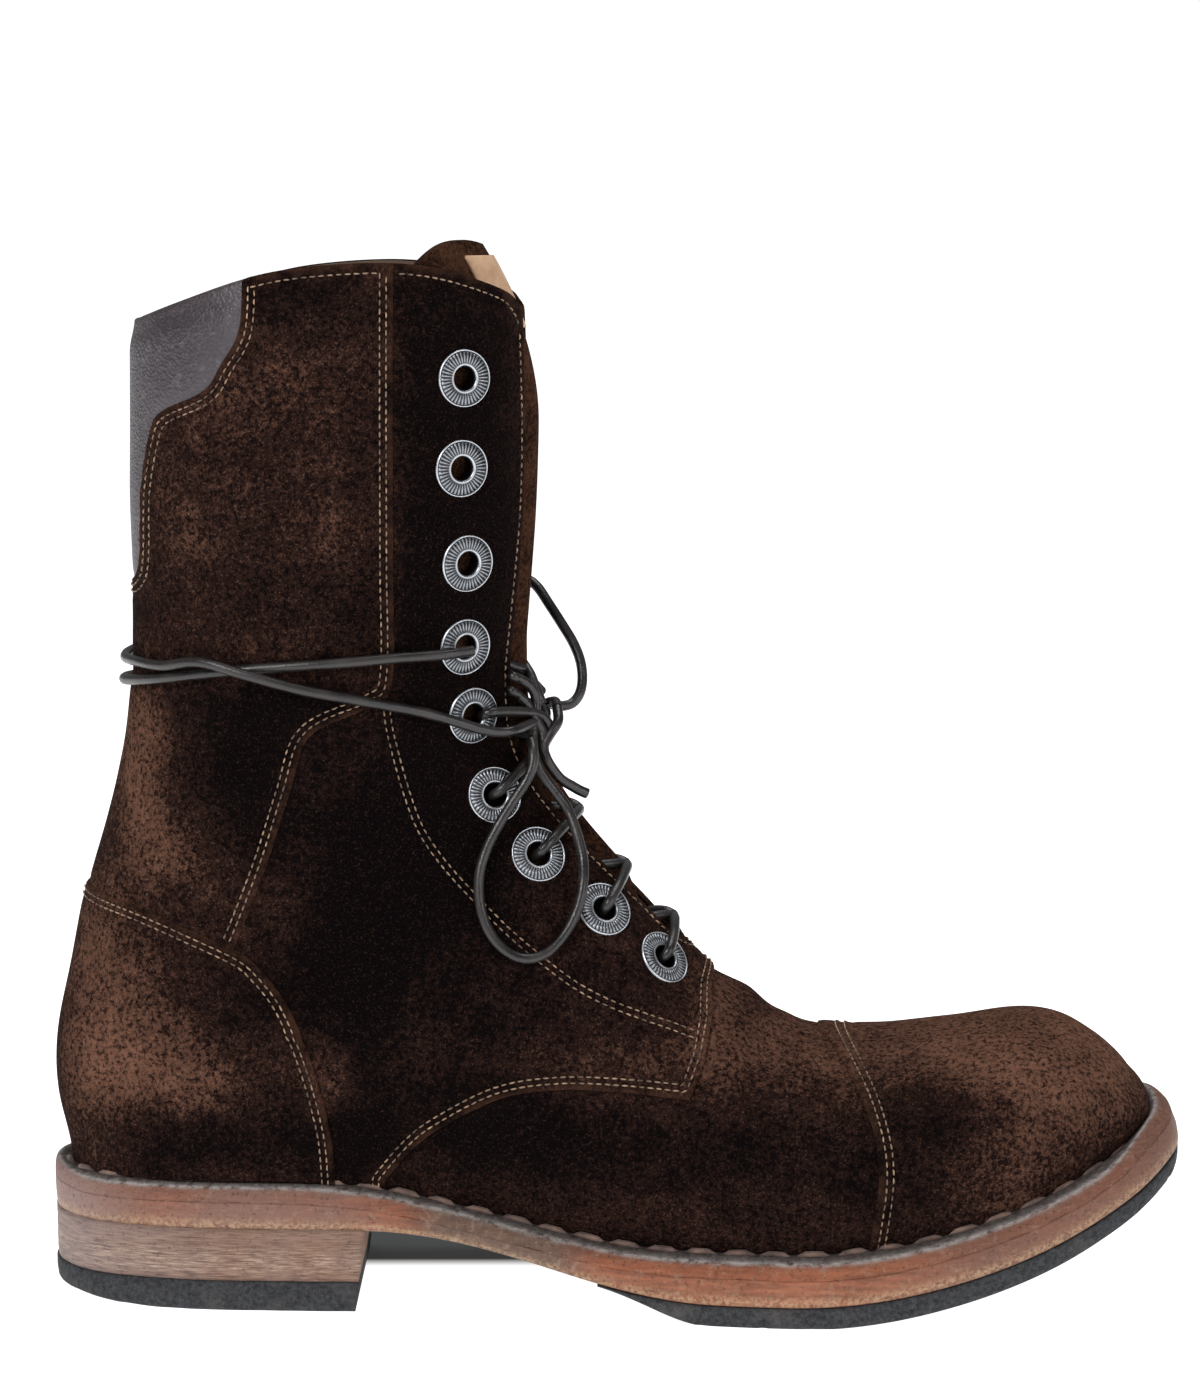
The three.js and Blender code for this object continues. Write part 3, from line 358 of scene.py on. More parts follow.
def edge_colour(g):
    """The waxed edge of the sole leather, from heel to toe: each stretch has its own wear, and round the heel's back
    lies a painted cool grey cast of shade and reflected light.
    """
    along = g.place_along("X")
    streaks = g.noise(1, 4, 0.65, g.scaled((60, 60, 620)))
    fibres = g.noise(1, 3, 0.7, g.scaled((240, 240, 2400)))
    broad = g.noise(34, 4, 0.6)
    grit = g.noise(900, 3, 0.7)
    speckle = g.noise(420, 4, 0.7)
    body = g.mix(g.window(streaks, 0.32, 0.68), (0.20, 0.066, 0.032), (0.42, 0.145, 0.070))
    heel = g.stretch(along, -0.2, 0.045, 0.012)
    body = g.mix(g.math("MULTIPLY", heel, g.window(broad, 0.35, 0.6, 0.4, 0.9)), body, (0.25, 0.135, 0.105))
    # Painted light: round the heel's back the edge takes a cool grey cast of shade and reflected light.
    painted_grey_back_edge = g.stretch(along, -0.2, -0.026, 0.008)
    body = g.mix(g.math("MULTIPLY", painted_grey_back_edge, 0.75), body, (0.34, 0.235, 0.215))
    waist = g.stretch(along, 0.058, 0.1, 0.006)
    body = g.mix(g.math("MULTIPLY", waist, 0.85), body, g.mix(speckle, (0.03, 0.02, 0.016), (0.26, 0.185, 0.14)))
    toe = g.stretch(along, 0.19, 0.4, 0.016)
    body = g.mix(g.math("MULTIPLY", toe, g.window(broad, 0.3, 0.6, 0.5, 0.95)), body, (0.20, 0.092, 0.062))
    body = g.mix(g.math("MULTIPLY", g.window(fibres, 0.55, 0.75), 0.4), body, (0.42, 0.29, 0.20))
    body = g.mix(g.math("MULTIPLY", g.window(speckle, 0.56, 0.68), 0.5), body, (0.36, 0.25, 0.18))
    body = g.mix(g.math("MULTIPLY", g.window(grit, 0.56, 0.68), 0.65), body, (0.055, 0.028, 0.02))
    body = g.mix(1.0, body, (0.74, 0.72, 0.72), "MULTIPLY")
    return body, g.bump(fibres, 0.0004, 0.5, g.bump(grit, 0.0005, 0.6))


def welt_leather():
    """Grey-brown leather on top, with a pale worn line where its edge turns down."""
    g = Graph("welt_leather")
    fibre = g.noise(700, 4, 0.7)
    broad = g.noise(90, 4, 0.65)
    wear_and_highlight = g.math("MULTIPLY", g.field("edge"), g.window(g.noise(300, 4, 0.75), 0.36, 0.56))
    side, dents = edge_colour(g)
    body = g.mix(g.window(fibre, 0.35, 0.7), (0.018, 0.014, 0.013), (0.135, 0.11, 0.105))
    body = g.mix(g.window(broad, 0.4, 0.7, 0.0, 0.5), body, (0.045, 0.028, 0.022))
    body = g.mix(g.field("tan"), body, side)
    body = g.mix(wear_and_highlight, body, (0.44, 0.40, 0.38))
    g.shade(Base_Color=body, Roughness=0.75, Specular_IOR_Level=0.3, Normal=g.bump(fibre, 0.0006, 0.8, dents))
    return g.material


def edge_leather():
    """The sole leather: its waxed edge, with a band of pale grit along the bottom."""
    g = Graph("edge_leather")
    body, dents = edge_colour(g)
    grit = g.noise(1000, 3, 0.7)
    band = g.math("MULTIPLY", g.field("tan"), g.window(grit, 0.4, 0.6))
    body = g.mix(g.math("MULTIPLY", band, 0.7), body, (0.44, 0.29, 0.17))
    foot = g.math("MULTIPLY", g.field("edge"), g.window(g.place_along("X"), 0.045, 0.06, 0.0, 0.55))
    body = g.mix(foot, body, (0.085, 0.045, 0.03))
    g.shade(Base_Color=body, Roughness=0.55, Specular_IOR_Level=0.35, Normal=dents)
    return g.material


def stack_leather():
    """The heel's stacked lifts: level fibres, pale scratches and a reddish top, with a painted cool grey cast of
    shade and reflected light round the back.
    """
    g = Graph("stack_leather")
    along = g.place_along("X")
    up = g.place_along("Z")
    lifts = g.noise(1, 3, 0.6, g.scaled((14, 14, 420)))
    fibres = g.noise(1, 4, 0.7, g.scaled((170, 170, 2300)))
    broad = g.noise(38, 4, 0.6)
    grit = g.noise(900, 3, 0.7)
    body = g.mix(g.window(lifts, 0.3, 0.7), (0.20, 0.115, 0.085), (0.36, 0.235, 0.185))
    body = g.mix(g.window(broad, 0.46, 0.7, 0.0, 0.6), body, (0.28, 0.13, 0.075))
    # Painted light: round the heel's back the stack takes a cool grey cast of shade and reflected light.
    painted_grey_heel_back = g.stretch(along, -0.2, -0.02, 0.014)
    body = g.mix(g.math("MULTIPLY", painted_grey_heel_back, 0.7), body, (0.34, 0.255, 0.235))
    middle_band = g.stretch(up, 0.010, 0.0165, 0.0015)
    pale = g.math("MULTIPLY", g.window(fibres, 0.48, 0.64), g.math("ADD", g.math("MULTIPLY", middle_band, 0.5), 0.25))
    body = g.mix(pale, body, (0.62, 0.47, 0.33))
    body = g.mix(g.math("MULTIPLY", g.window(fibres, 0.46, 0.34), 0.6), body, (0.055, 0.03, 0.022))
    body = g.mix(g.math("MULTIPLY", g.window(grit, 0.58, 0.7), 0.6), body, (0.07, 0.045, 0.04))
    body = g.mix(1.0, body, (0.74, 0.74, 0.76), "MULTIPLY")
    g.shade(Base_Color=body, Roughness=0.6, Specular_IOR_Level=0.35,
            Normal=g.bump(fibres, 0.0005, 0.6, g.bump(grit, 0.0004, 0.5)))
    return g.material


def tread_rubber():
    g = Graph("tread_rubber")
    grit = g.noise(800, 4, 0.75)
    broad = g.noise(60, 3)
    body = g.mix(g.window(grit, 0.35, 0.7), (0.010, 0.011, 0.012), (0.060, 0.061, 0.068))
    body = g.mix(g.window(broad, 0.55, 0.75, 0.0, 0.4), body, (0.13, 0.115, 0.105))
    g.shade(Base_Color=body, Roughness=0.82, Specular_IOR_Level=0.3, Normal=g.bump(grit, 0.0006, 0.7))
    return g.material


def gunmetal():
    g = Graph("gunmetal")
    broad = g.noise(500, 3)
    # Painted highlight: the edge field turns the dark metal bright on the eyelets' rims and rib tops.
    wear_and_highlight = g.field("edge")
    body = g.mix(wear_and_highlight, (0.040, 0.042, 0.048), (0.62, 0.65, 0.69))
    g.shade(Base_Color=body, Metallic=1.0, Roughness=g.window(broad, 0.3, 0.7, 0.3, 0.45))
    return g.material


def waxed_lace():
    """Waxed round lace, dark with pale rubbed patches along it."""
    g = Graph("waxed_lace")
    broad = g.noise(120, 3)
    fine = g.noise(1500, 2)
    body = g.mix(g.window(broad, 0.4, 0.8), (0.006, 0.0045, 0.0045), (0.026, 0.0195, 0.0185))
    g.shade(Base_Color=body, Roughness=g.window(broad, 0.3, 0.7, 0.26, 0.42), Specular_IOR_Level=0.6,
            Normal=g.bump(fine, 0.0002, 0.5))
    return g.material


def thread(name, dark, pale):
    g = Graph(name)
    tone = g.noise(220, 3)
    body = g.mix(g.window(tone, 0.35, 0.7), dark, pale)
    g.shade(Base_Color=body, Roughness=0.6, Sheen_Weight=0.2, Normal=g.bump(g.noise(3000, 1), 0.0002, 0.6))
    return g.material


def paper():
    """The white ground: it glows, but for a painted shadow, dark and without glow, that shows through the arch."""
    g = Graph("paper")
    # Painted shadow: behind and under the arch the ground is dark grey and does not glow.
    shade = g.math("MULTIPLY", g.stretch(g.place_along("Y"), 0.014, 0.5, 0.004),
                   g.stretch(g.place_along("X"), 0.01, 0.125, 0.012))
    glow = g.window(shade, 0.0, 1.0, 1.05, 0.03)
    body = g.mix(shade, (0.6, 0.6, 0.6), (0.06, 0.07, 0.07))
    g.shade(Base_Color=body, Roughness=0.95, Emission_Color=(1, 1, 1, 1), Emission_Strength=glow)
    return g.material


# Meshes
def make_mesh(name, points, faces, material, fields=None, smooth=True):
    """A piece from points in millimetres and an array of faces, all of them with as many corners."""
    faces = np.asarray(faces, np.int32)
    corners = faces.shape[1]
    mesh = bpy.data.meshes.new(name)
    mesh.vertices.add(len(points))
    mesh.vertices.foreach_set("co", metres(points).astype(np.float32).ravel())
    mesh.loops.add(faces.size)
    mesh.loops.foreach_set("vertex_index", faces.ravel())
    mesh.polygons.add(len(faces))
    mesh.polygons.foreach_set("loop_start", np.arange(0, faces.size, corners, dtype=np.int32))
    mesh.update(calc_edges=True)
    for key, values in (fields or {}).items():
        layer = mesh.attributes.new(key, "FLOAT", "POINT")
        layer.data.foreach_set("value", np.asarray(values, np.float32))
    if smooth:
        mesh.shade_smooth()
    mesh.materials.append(material)
    piece = bpy.data.objects.new(name, mesh)
    bpy.context.collection.objects.link(piece)
    return piece


def dress(piece, slot, *nodes):
    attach(piece, "root")
    if nodes:
        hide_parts(*nodes)
    return piece


# Heights of the sole's lines, as in the solids
FORE_HEIGHT = LEATHER_THICKNESS + TREAD_THICKNESS - FLAT_CUT
FLAT_FROM = 0.6 * LAST_LENGTH
FLAT_TO = 0.667 * LAST_LENGTH
BALL_START = 0.572 * LAST_LENGTH
WAIST_START = HEEL_LENGTH - 20


def fall(x, start, end):
    share = np.clip((np.asarray(x, float) - start) / (end - start), 0, 1)
    return (1 + np.cos(np.pi * share)) / 2


def rise(x, start, end):
    return 1 - fall(x, start, end)


def mix(a, b, share):
    return a + (b - a) * share


def bell(distance, width):
    return np.exp(-((distance / width) ** 2))


def spring(x):
    return TOE_SPRING * np.maximum(0, (np.asarray(x, float) - FLAT_TO) / (LAST_LENGTH - FLAT_TO)) ** 2


def top_line(x):
    return FORE_HEIGHT + (HEEL_HEIGHT - FORE_HEIGHT) * fall(x, WAIST_START, BALL_START) + spring(x)


def leather_line(x):
    arch = (HEEL_HEIGHT - FORE_HEIGHT) * fall(x, HEEL_LENGTH, FLAT_FROM)
    return FORE_HEIGHT - LEATHER_THICKNESS + arch + spring(x)


def tread_line(x):
    return leather_line(x) - TREAD_THICKNESS * (1 - TREAD_SKIVE * fall(x, TREAD_START, FLAT_FROM))


# Sections of the last, from the toe to the collar, as shares of the named sizes.
# under, over, rise, centre, feather out and in, width out and in, widest, round
FOOT_ROWS = [
    (0.997, 0.998, 0.016, 0.065, 0, 0, 0, 0, 0.45, 2),
    (0.993, 0.998, 0.084, 0.065, 0.151, 0.134, 0.161, 0.145, 0.45, 2),
    (0.981, 0.992, 0.173, 0.065, 0.237, 0.21, 0.258, 0.231, 0.42, 2),
    (0.961, 0.977, 0.285, 0.065, 0.323, 0.28, 0.349, 0.301, 0.4, 2),
    (0.934, 0.954, 0.401, 0.065, 0.387, 0.333, 0.414, 0.355, 0.38, 2.05),
    (0.899, 0.919, 0.514, 0.056, 0.441, 0.376, 0.468, 0.398, 0.35, 2.1),
    (0.859, 0.875, 0.591, 0.049, 0.478, 0.403, 0.503, 0.425, 0.33, 2.15),
    (0.808, 0.82, 0.636, 0.041, 0.505, 0.425, 0.527, 0.446, 0.32, 2.15),
    (0.747, 0.758, 0.662, 0.028, 0.516, 0.435, 0.54, 0.457, 0.3, 2.1),
    (0.684, 0.697, 0.71, 0.013, 0.505, 0.425, 0.535, 0.452, 0.28, 2),
    (0.609, 0.64, 0.811, 0.004, 0.468, 0.392, 0.503, 0.43, 0.27, 1.95),
    (0.525, 0.589, 0.965, 0, 0.403, 0.339, 0.462, 0.403, 0.27, 1.95),
]
# under, ahead, height, feather out and in, width out and in, widest, turn
INSTEP_ROWS = [
    (0.428, 0.105, 0.289, 0.344, 0.296, 0.422, 0.382, 0.28, 0.55),
    (0.327, 0.067, 0.341, 0.328, 0.29, 0.389, 0.368, 0.3, 0.55),
    (0.226, 0.038, 0.384, 0.328, 0.312, 0.372, 0.361, 0.33, 0.55),
    (0.135, 0.018, 0.421, 0.312, 0.306, 0.359, 0.355, 0.36, 0.58),
    (0.064, 0.005, 0.453, 0.247, 0.247, 0.348, 0.348, 0.38, 0.68),
    (0.029, -0.002, 0.478, 0.14, 0.14, 0.344, 0.344, 0.4, 0.84),
]
# behind, back height, ahead, height, width, widest
SHAFT_ROWS = [
    (0.07, 0, -0.006, 0.498, 0.407, 0.42),
    (0.075, 0.073, -0.009, 0.519, 0.407, 0.44),
    (0.072, 0.143, -0.01, 0.54, 0.41, 0.46),
    (0.06, 0.217, -0.01, 0.562, 0.415, 0.48),
    (0.046, 0.296, -0.01, 0.589, 0.423, 0.49),
    (0.026, 0.383, -0.008, 0.622, 0.433, 0.5),
    (0.009, 0.474, -0.005, 0.668, 0.446, 0.5),
    (0.002, 0.569, -0.002, 0.719, 0.461, 0.5),
    (0.001, 0.668, 0, 0.775, 0.477, 0.5),
    (0.001, 0.767, 0.001, 0.837, 0.49, 0.5),
    (0.001, 0.866, 0, 0.903, 0.497, 0.5),
    (0, 0.965, -0.002, 0.978, 0.503, 0.5),
    (-0.001, 1.064, -0.005, 1.064, 0.505, 0.5),
]
SHAFT_CENTRE = 0.262 * LAST_LENGTH
SHAFT_BACK = SHAFT_CENTRE - SHAFT_LENGTH / 2
SHAFT_FRONT = SHAFT_CENTRE + SHAFT_LENGTH / 2
SHAFT_ROUND = 2.1
FOOT_TURN = 0.55
UPPER_SHARE = 0.55

UNDER = [0, 1]
OVER = [2, 3]
CENTRE = 4
FEATHER = [5, 6]
WIDTH = [7, 8]
WIDEST, ROUND, TURN = 9, 10, 11


def foot_section(row):
    under, over, up, centre, *halves, widest, power = row
    x = under * LAST_LENGTH
    z = float(top_line(x))
    sides = [half * BALL_WIDTH for half in halves]
    return [x, z + CLEARANCE, over * LAST_LENGTH, z + up * INSTEP_HEIGHT, centre * BALL_WIDTH,
            *sides, widest, power, FOOT_TURN]


def instep_section(row):
    under, ahead, height, *halves, widest, turn = row
    x = under * LAST_LENGTH
    sides = [half * BALL_WIDTH for half in halves]
    return [x, float(top_line(x)) + CLEARANCE, SHAFT_FRONT + ahead * LAST_LENGTH,
            HEEL_HEIGHT + height * SHAFT_HEIGHT, 0, *sides, widest, SHAFT_ROUND, turn]


def shaft_section(row):
    behind, back_height, ahead, height, width, widest = row
    half = width * SHAFT_WIDTH
    return [SHAFT_BACK - behind * LAST_LENGTH, HEEL_HEIGHT + CLEARANCE + back_height * SHAFT_HEIGHT,
            SHAFT_FRONT + ahead * LAST_LENGTH, HEEL_HEIGHT + height * SHAFT_HEIGHT, 0,
            0, 0, half, half, widest, SHAFT_ROUND, 1]


SECTIONS = np.array([
    *[foot_section(row) for row in FOOT_ROWS],
    *[instep_section(row) for row in INSTEP_ROWS],
    *[shaft_section(row) for row in SHAFT_ROWS],
])
FEATHER_END = len(FOOT_ROWS) + len(INSTEP_ROWS)
LAST_SECTION = len(SECTIONS) - 1


def segment_rows():
    """The four rows that steer each stretch; rows past the toe's tip and the heel's back are mirrored."""
    rows = np.empty((LAST_SECTION, 4, SECTIONS.shape[1]))
    for i in range(LAST_SECTION):
        for k, step in enumerate((-1, 0, 1, 2)):
            rows[i, k] = SECTIONS[min(max(i + step, 0), LAST_SECTION)]
    rows[0, 0] = SECTIONS[1]
    rows[0, 0, FEATHER + WIDTH] *= -1
    end = FEATHER_END
    rows[end - 1, 3, UNDER] = SECTIONS[end - 1, UNDER]
    rows[end - 1, 3, FEATHER] = -SECTIONS[end - 1, FEATHER]
    rows[end, 0, UNDER] = 2 * SECTIONS[end, UNDER] - SECTIONS[end + 1, UNDER]
    rows[end, 0, FEATHER] = 0
    return rows


STRETCHES = segment_rows()


def section_at(t):
    t = np.clip(np.asarray(t, float), 0, LAST_SECTION)
    i = np.minimum(t.astype(int), LAST_SECTION - 1)
    f = (t - i)[..., None]
    a, b, c, d = (STRETCHES[i, k] for k in range(4))
    s = 0.5 * (2 * b + (c - a) * f + (2 * a - 5 * b + 4 * c - d) * f ** 2 + (3 * b - a - 3 * c + d) * f ** 3)
    above = t >= FEATHER_END
    s[..., FEATHER] = np.where(above[..., None], 0, np.maximum(s[..., FEATHER], 0))
    s[..., 1] = np.where(above, s[..., 1], top_line(s[..., 0]) + CLEARANCE)
    return s


def surface(t, a):
    """The last: t is the section, a the turn round it, -1 at the outer feather edge, 0 on the ridge."""
    t, a = np.broadcast_arrays(np.asarray(t, float), np.asarray(a, float))
    s = section_at(t)
    feather = np.where(a < 0, s[..., FEATHER[0]], s[..., FEATHER[1]])
    width = np.maximum(0, np.where(a < 0, s[..., WIDTH[0]], s[..., WIDTH[1]]))
    power = 2 / s[..., ROUND]
    q = np.abs(a)
    angle = np.minimum(q / UPPER_SHARE, 1) * np.pi / 2
    across_high = width * np.sin(angle) ** power
    up_high = mix(s[..., WIDEST], 1, np.maximum(0, np.cos(angle)) ** power)
    last = np.minimum(s[..., TURN], 1) * np.pi / 2
    low = np.clip((q - UPPER_SHARE) / (1 - UPPER_SHARE), 0, 1) * last
    last_cos = np.maximum(0, np.cos(last)) ** power
    share = (np.maximum(0, np.cos(low)) ** power - last_cos) / (1 - last_cos)
    across_low = mix(feather, width, share)
    up_low = s[..., WIDEST] * (1 - (np.sin(low) / np.sin(last)) ** power)
    high = q < UPPER_SHARE
    across = np.where(high, across_high, across_low)
    up = np.where(high, up_high, up_low)
    return np.stack([
        mix(s[..., 0], s[..., 2], up),
        s[..., CENTRE] + np.sign(a) * across,
        mix(s[..., 1], s[..., 3], up),
    ], -1)


def unit(v):
    return v / np.maximum(np.linalg.norm(v, axis=-1, keepdims=True), 1e-12)


def normal(t, a):
    small = 2e-3
    t, a = np.broadcast_arrays(np.asarray(t, float), np.asarray(a, float))
    tt = np.clip(t, 0.06, LAST_SECTION - 2 * small)
    aa = np.clip(a, small - 1, 1 - small)
    along = surface(tt + small, aa) - surface(tt - small, aa)
    round_ = surface(tt, aa + small) - surface(tt, aa - small)
    n = unit(np.cross(round_, along))
    tip = t <= 0
    n[tip, 1] = 0
    back = (np.abs(a) >= 1) & (t >= FEATHER_END)
    n[back, 1] = 0
    under = (np.abs(a) >= 1) & (t < FEATHER_END)
    n[under, 2] = 0
    return unit(n)


# Creases and dents. Each is a trough (or a ridge, if its depth is negative) along a
# line seen from the side: two ends, its width and its depth.
CREASES = [
    ((196, 76), (188, 52), 5.0, 0.9),
    ((188, 80), (181, 60), 4.0, -0.5),
    ((203, 70), (199, 46), 4.0, 0.5),
    ((178, 84), (171, 70), 4.5, 0.6),
    ((36, 132), (62, 126), 6.0, 0.8),
    ((30, 140), (58, 142), 6.0, -0.6),
    ((34, 152), (66, 150), 5.0, 0.6),
    ((96, 150), (72, 128), 7.0, 0.7),
    ((104, 142), (84, 112), 6.0, -0.5),
    ((112, 118), (92, 92), 7.0, 0.6),
    ((40, 186), (84, 196), 9.0, 0.7),
    ((38, 214), (80, 208), 9.0, -0.7),
    ((60, 236), (86, 214), 8.0, 0.6),
    ((98, 256), (99, 180), 6.0, 0.5),
    ((20, 66), (34, 96), 8.0, -0.5),
    ((52, 82), (64, 52), 8.0, 0.6),
    ((118, 66), (96, 48), 7.0, 0.5),
    ((140, 74), (172, 64), 7.0, 0.5),
]
LACE_BAND_HEIGHT = 168
LACE_BAND_WIDTH = 5
LACE_BAND_DEPTH = 0.5
TOE_TUCK = 3
TOE_SWELL = 2.2
VAMP_SWELL = 2.2
HEEL_TUCK = 3.2


def line_distance(x, z, start, end):
    (x0, z0), (x1, z1) = start, end
    length = (x1 - x0) ** 2 + (z1 - z0) ** 2
    share = np.clip(((x - x0) * (x1 - x0) + (z - z0) * (z1 - z0)) / length, 0, 1)
    return np.hypot(x - x0 - share * (x1 - x0), z - z0 - share * (z1 - z0))


def relief(p):
    """How far worn leather stands off the last, in millimetres, at points on the last."""
    x, y, z = p[..., 0], p[..., 1], p[..., 2]
    height = np.zeros(x.shape)
    for start, end, width, depth in CREASES:
        height -= depth * bell(line_distance(x, z, start, end), width)
    height -= LACE_BAND_DEPTH * bell(z - LACE_BAND_HEIGHT, LACE_BAND_WIDTH)
    waves = np.sin(x / 13 + y / 21) * np.sin(z / 17 + 1.3) + 0.6 * np.sin(x / 7.5 + z / 9 + y / 11)
    height += 0.16 * waves
    crest = rise(z - top_line(x), 18, 34) * bell(y, 26)
    height += crest * (TOE_SWELL * bell(x - 268, 15) + VAMP_SWELL * bell(x - 190, 14))
    height -= TOE_TUCK * rise(x, 0.88 * LAST_LENGTH, LAST_LENGTH) * fall(z, 44, 84)
    return height * rise(z - top_line(x), 2, 14) - HEEL_TUCK * bell(z - HEEL_HEIGHT, 16) * fall(x, -2, 34)


def skin(t, a, height):
    """Points at a height over the last, creases included."""
    p = surface(t, a)
    return p + normal(t, a) * (relief(p) + height)[..., None]


# The grid of the upper, with its rows spread by how far apart they lie
GRID_ROWS = 440
GRID_COLUMNS = 180


def spread_stations(count):
    probe = np.linspace(0, LAST_SECTION, 60 * LAST_SECTION + 1)
    s = section_at(probe)
    under = np.hypot(np.diff(s[:, 0]), np.diff(s[:, 1])) + 0.5 * np.abs(np.diff(s[:, FEATHER[0]]))
    over = np.hypot(np.diff(s[:, 2]), np.diff(s[:, 3]))
    travelled = np.concatenate([[0], np.cumsum(np.maximum(under, over))])
    return np.interp(np.linspace(0, travelled[-1], count), travelled, probe)


class Grid:
    """Points of the last on a grid, where the toe's tip and the back of the shaft are joined."""

    def __init__(self, rows, columns):
        stations = np.union1d(spread_stations(rows), [FEATHER_END])
        turns = np.linspace(-1, 1, columns + 1)
        self.rows, self.columns = len(stations), len(turns)
        self.t, self.a = np.meshgrid(stations, turns, indexing="ij")
        self.p = surface(self.t, self.a)
        ids = np.arange(self.t.size).reshape(self.t.shape)
        ids[0] = np.minimum(ids[0], ids[0][::-1])
        above = stations >= FEATHER_END
        ids[above, -1] = ids[above, 0]
        self.ids = ids
        a, b, c, d = ids[:-1, :-1], ids[:-1, 1:], ids[1:, 1:], ids[1:, :-1]
        self.quads = np.stack([a, b, c, d], -1).reshape(-1, 4)


def clip(grid, field):
    """The part of the grid where the field is positive, cut along its zero line, as triangles."""
    flat = field.ravel()
    t, a = list(grid.t.ravel()), list(grid.a.ravel())
    f = flat.copy()
    q = grid.quads
    triangles = np.concatenate([q[:, [0, 1, 2]], q[:, [0, 2, 3]]])
    same = (triangles[:, 0] == triangles[:, 1]) | (triangles[:, 1] == triangles[:, 2])
    triangles = triangles[~(same | (triangles[:, 0] == triangles[:, 2]))]
    inside = f[triangles] > 0
    count = inside.sum(1)
    kept = [triangles[count == 3]]
    made, values, cut = {}, list(f), []

    def crossing(i, j):
        key = (i, j) if i < j else (j, i)
        if key not in made:
            i, j = key
            share = f[i] / (f[i] - f[j])
            made[key] = len(t)
            t.append(mix(t[i], t[j], share))
            a.append(mix(a[i], a[j], share))
            values.append(0.0)
        return made[key]

    for corners, flags in zip(triangles[(count == 1) | (count == 2)], inside[(count == 1) | (count == 2)]):
        k = int(np.argmax(flags)) if flags.sum() == 1 else int(np.argmin(flags))
        i, j, m = (int(corners[(k + n) % 3]) for n in range(3))
        ij, im = crossing(i, j), crossing(i, m)
        if flags.sum() == 1:
            cut.append((i, ij, im))
        else:
            cut.extend([(ij, j, m), (ij, m, im)])
    if cut:
        kept.append(np.array(cut))
    faces = np.concatenate(kept)
    used, compact = np.unique(faces, return_inverse=True)
    faces = compact.reshape(-1, 3)
    return np.array(t)[used], np.array(a)[used], np.array(values)[used], faces


def border(faces):
    """Directed edges that only one triangle has."""
    edges = np.concatenate([faces[:, [0, 1]], faces[:, [1, 2]], faces[:, [2, 0]]])
    low, high = edges.min(1), edges.max(1)
    key = low.astype(np.int64) * (high.max() + 1) + high
    _, first, counts = np.unique(key, return_index=True, return_counts=True)
    return edges[first[counts == 1]]


# Outlines seen from the side, as shares of LAST_LENGTH forward and SHAFT_HEIGHT up from the heel's
# feather line: a smooth seam, and the corners that close it
COLLAR_LINE = (
    [(0.09, 0.936), (0.136, 0.957), (0.194, 0.981), (0.243, 0.993), (0.311, 0.998), (0.363, 0.991),
     (0.413, 0.969), (0.429, 0.948), (0.435, 0.924)],
    [(0.45, 0.9), (1.2, 0.9), (1.2, -0.2), (-0.1, -0.2), (-0.1, 0.93)],
)
COLLAR_PATCH = (
    [(0.194, 0.984), (0.191, 0.927), (0.174, 0.889), (0.159, 0.862), (0.121, 0.839), (0.11, 0.818),
     (0.102, 0.764), (0.096, 0.674), (0.088, 0.652)],
    [(-0.1, 0.652), (-0.1, 1.1), (0.194, 1.1)],
)
SHAFT_SEAM = (
    [(0.321, 0.854), (0.32, 0.69), (0.318, 0.552), (0.3, 0.525), (0.247, 0.493), (0.229, 0.433),
     (0.206, 0.346), (0.179, 0.262), (0.162, 0.22)],
    [(-0.1, 0.22), (-0.1, 1.1), (0.322, 1.1)],
)
COUNTER_SEAM = (
    [(0.041, 0.312), (0.102, 0.297), (0.178, 0.258), (0.205, 0.23), (0.227, 0.192), (0.248, 0.128),
     (0.262, 0.06), (0.265, 0.015)],
    [(0.266, -0.1), (-0.1, -0.1), (-0.1, 0.312)],
)
QUARTER_SEAM = (
    [(0.31, 0.003), (0.333, 0.037), (0.359, 0.063), (0.412, 0.097), (0.465, 0.108), (0.52, 0.106),
     (0.58, 0.097)],
    [(0.594, 0.138), (0.6, 0.174), (0.6, 0.204), (0.62, 0.26), (0.62, 1.1), (0.02, 1.1), (0.02, -0.1),
     (0.31, -0.1)],
)
CAP_SHIFT = 3.5
CAP_SEAM = (
    [(0.7, 0.17), (0.709, 0.146), (0.725, 0.131), (0.747, 0.086), (0.757, 0.03), (0.751, -0.042),
     (0.745, -0.09)],
    [(1.2, -0.09), (1.2, 0.3), (0.7, 0.3)],
)
EYESTAY_SEAM = [(0.312, 0.53), (0.317, 0.486), (0.341, 0.385), (0.394, 0.304), (0.447, 0.245),
                (0.5, 0.202), (0.59, 0.157)]
THROAT_BOTTOM = HEEL_HEIGHT + 0.245 * SHAFT_HEIGHT


def side_points(shares):
    return [(x * LAST_LENGTH, HEEL_HEIGHT + z * SHAFT_HEIGHT) for x, z in shares]


def smooth_line(points, steps=6):
    p = np.array([points[0], *points, points[-1]], float)
    line = []
    for i in range(1, len(p) - 2):
        a, b, c, d = p[i - 1], p[i], p[i + 1], p[i + 2]
        for f in np.arange(steps) / steps:
            line.append(0.5 * (2 * b + (c - a) * f + (2 * a - 5 * b + 4 * c - d) * f ** 2
                               + (3 * b - a - 3 * c + d) * f ** 3))
    return [*line, p[-1]]


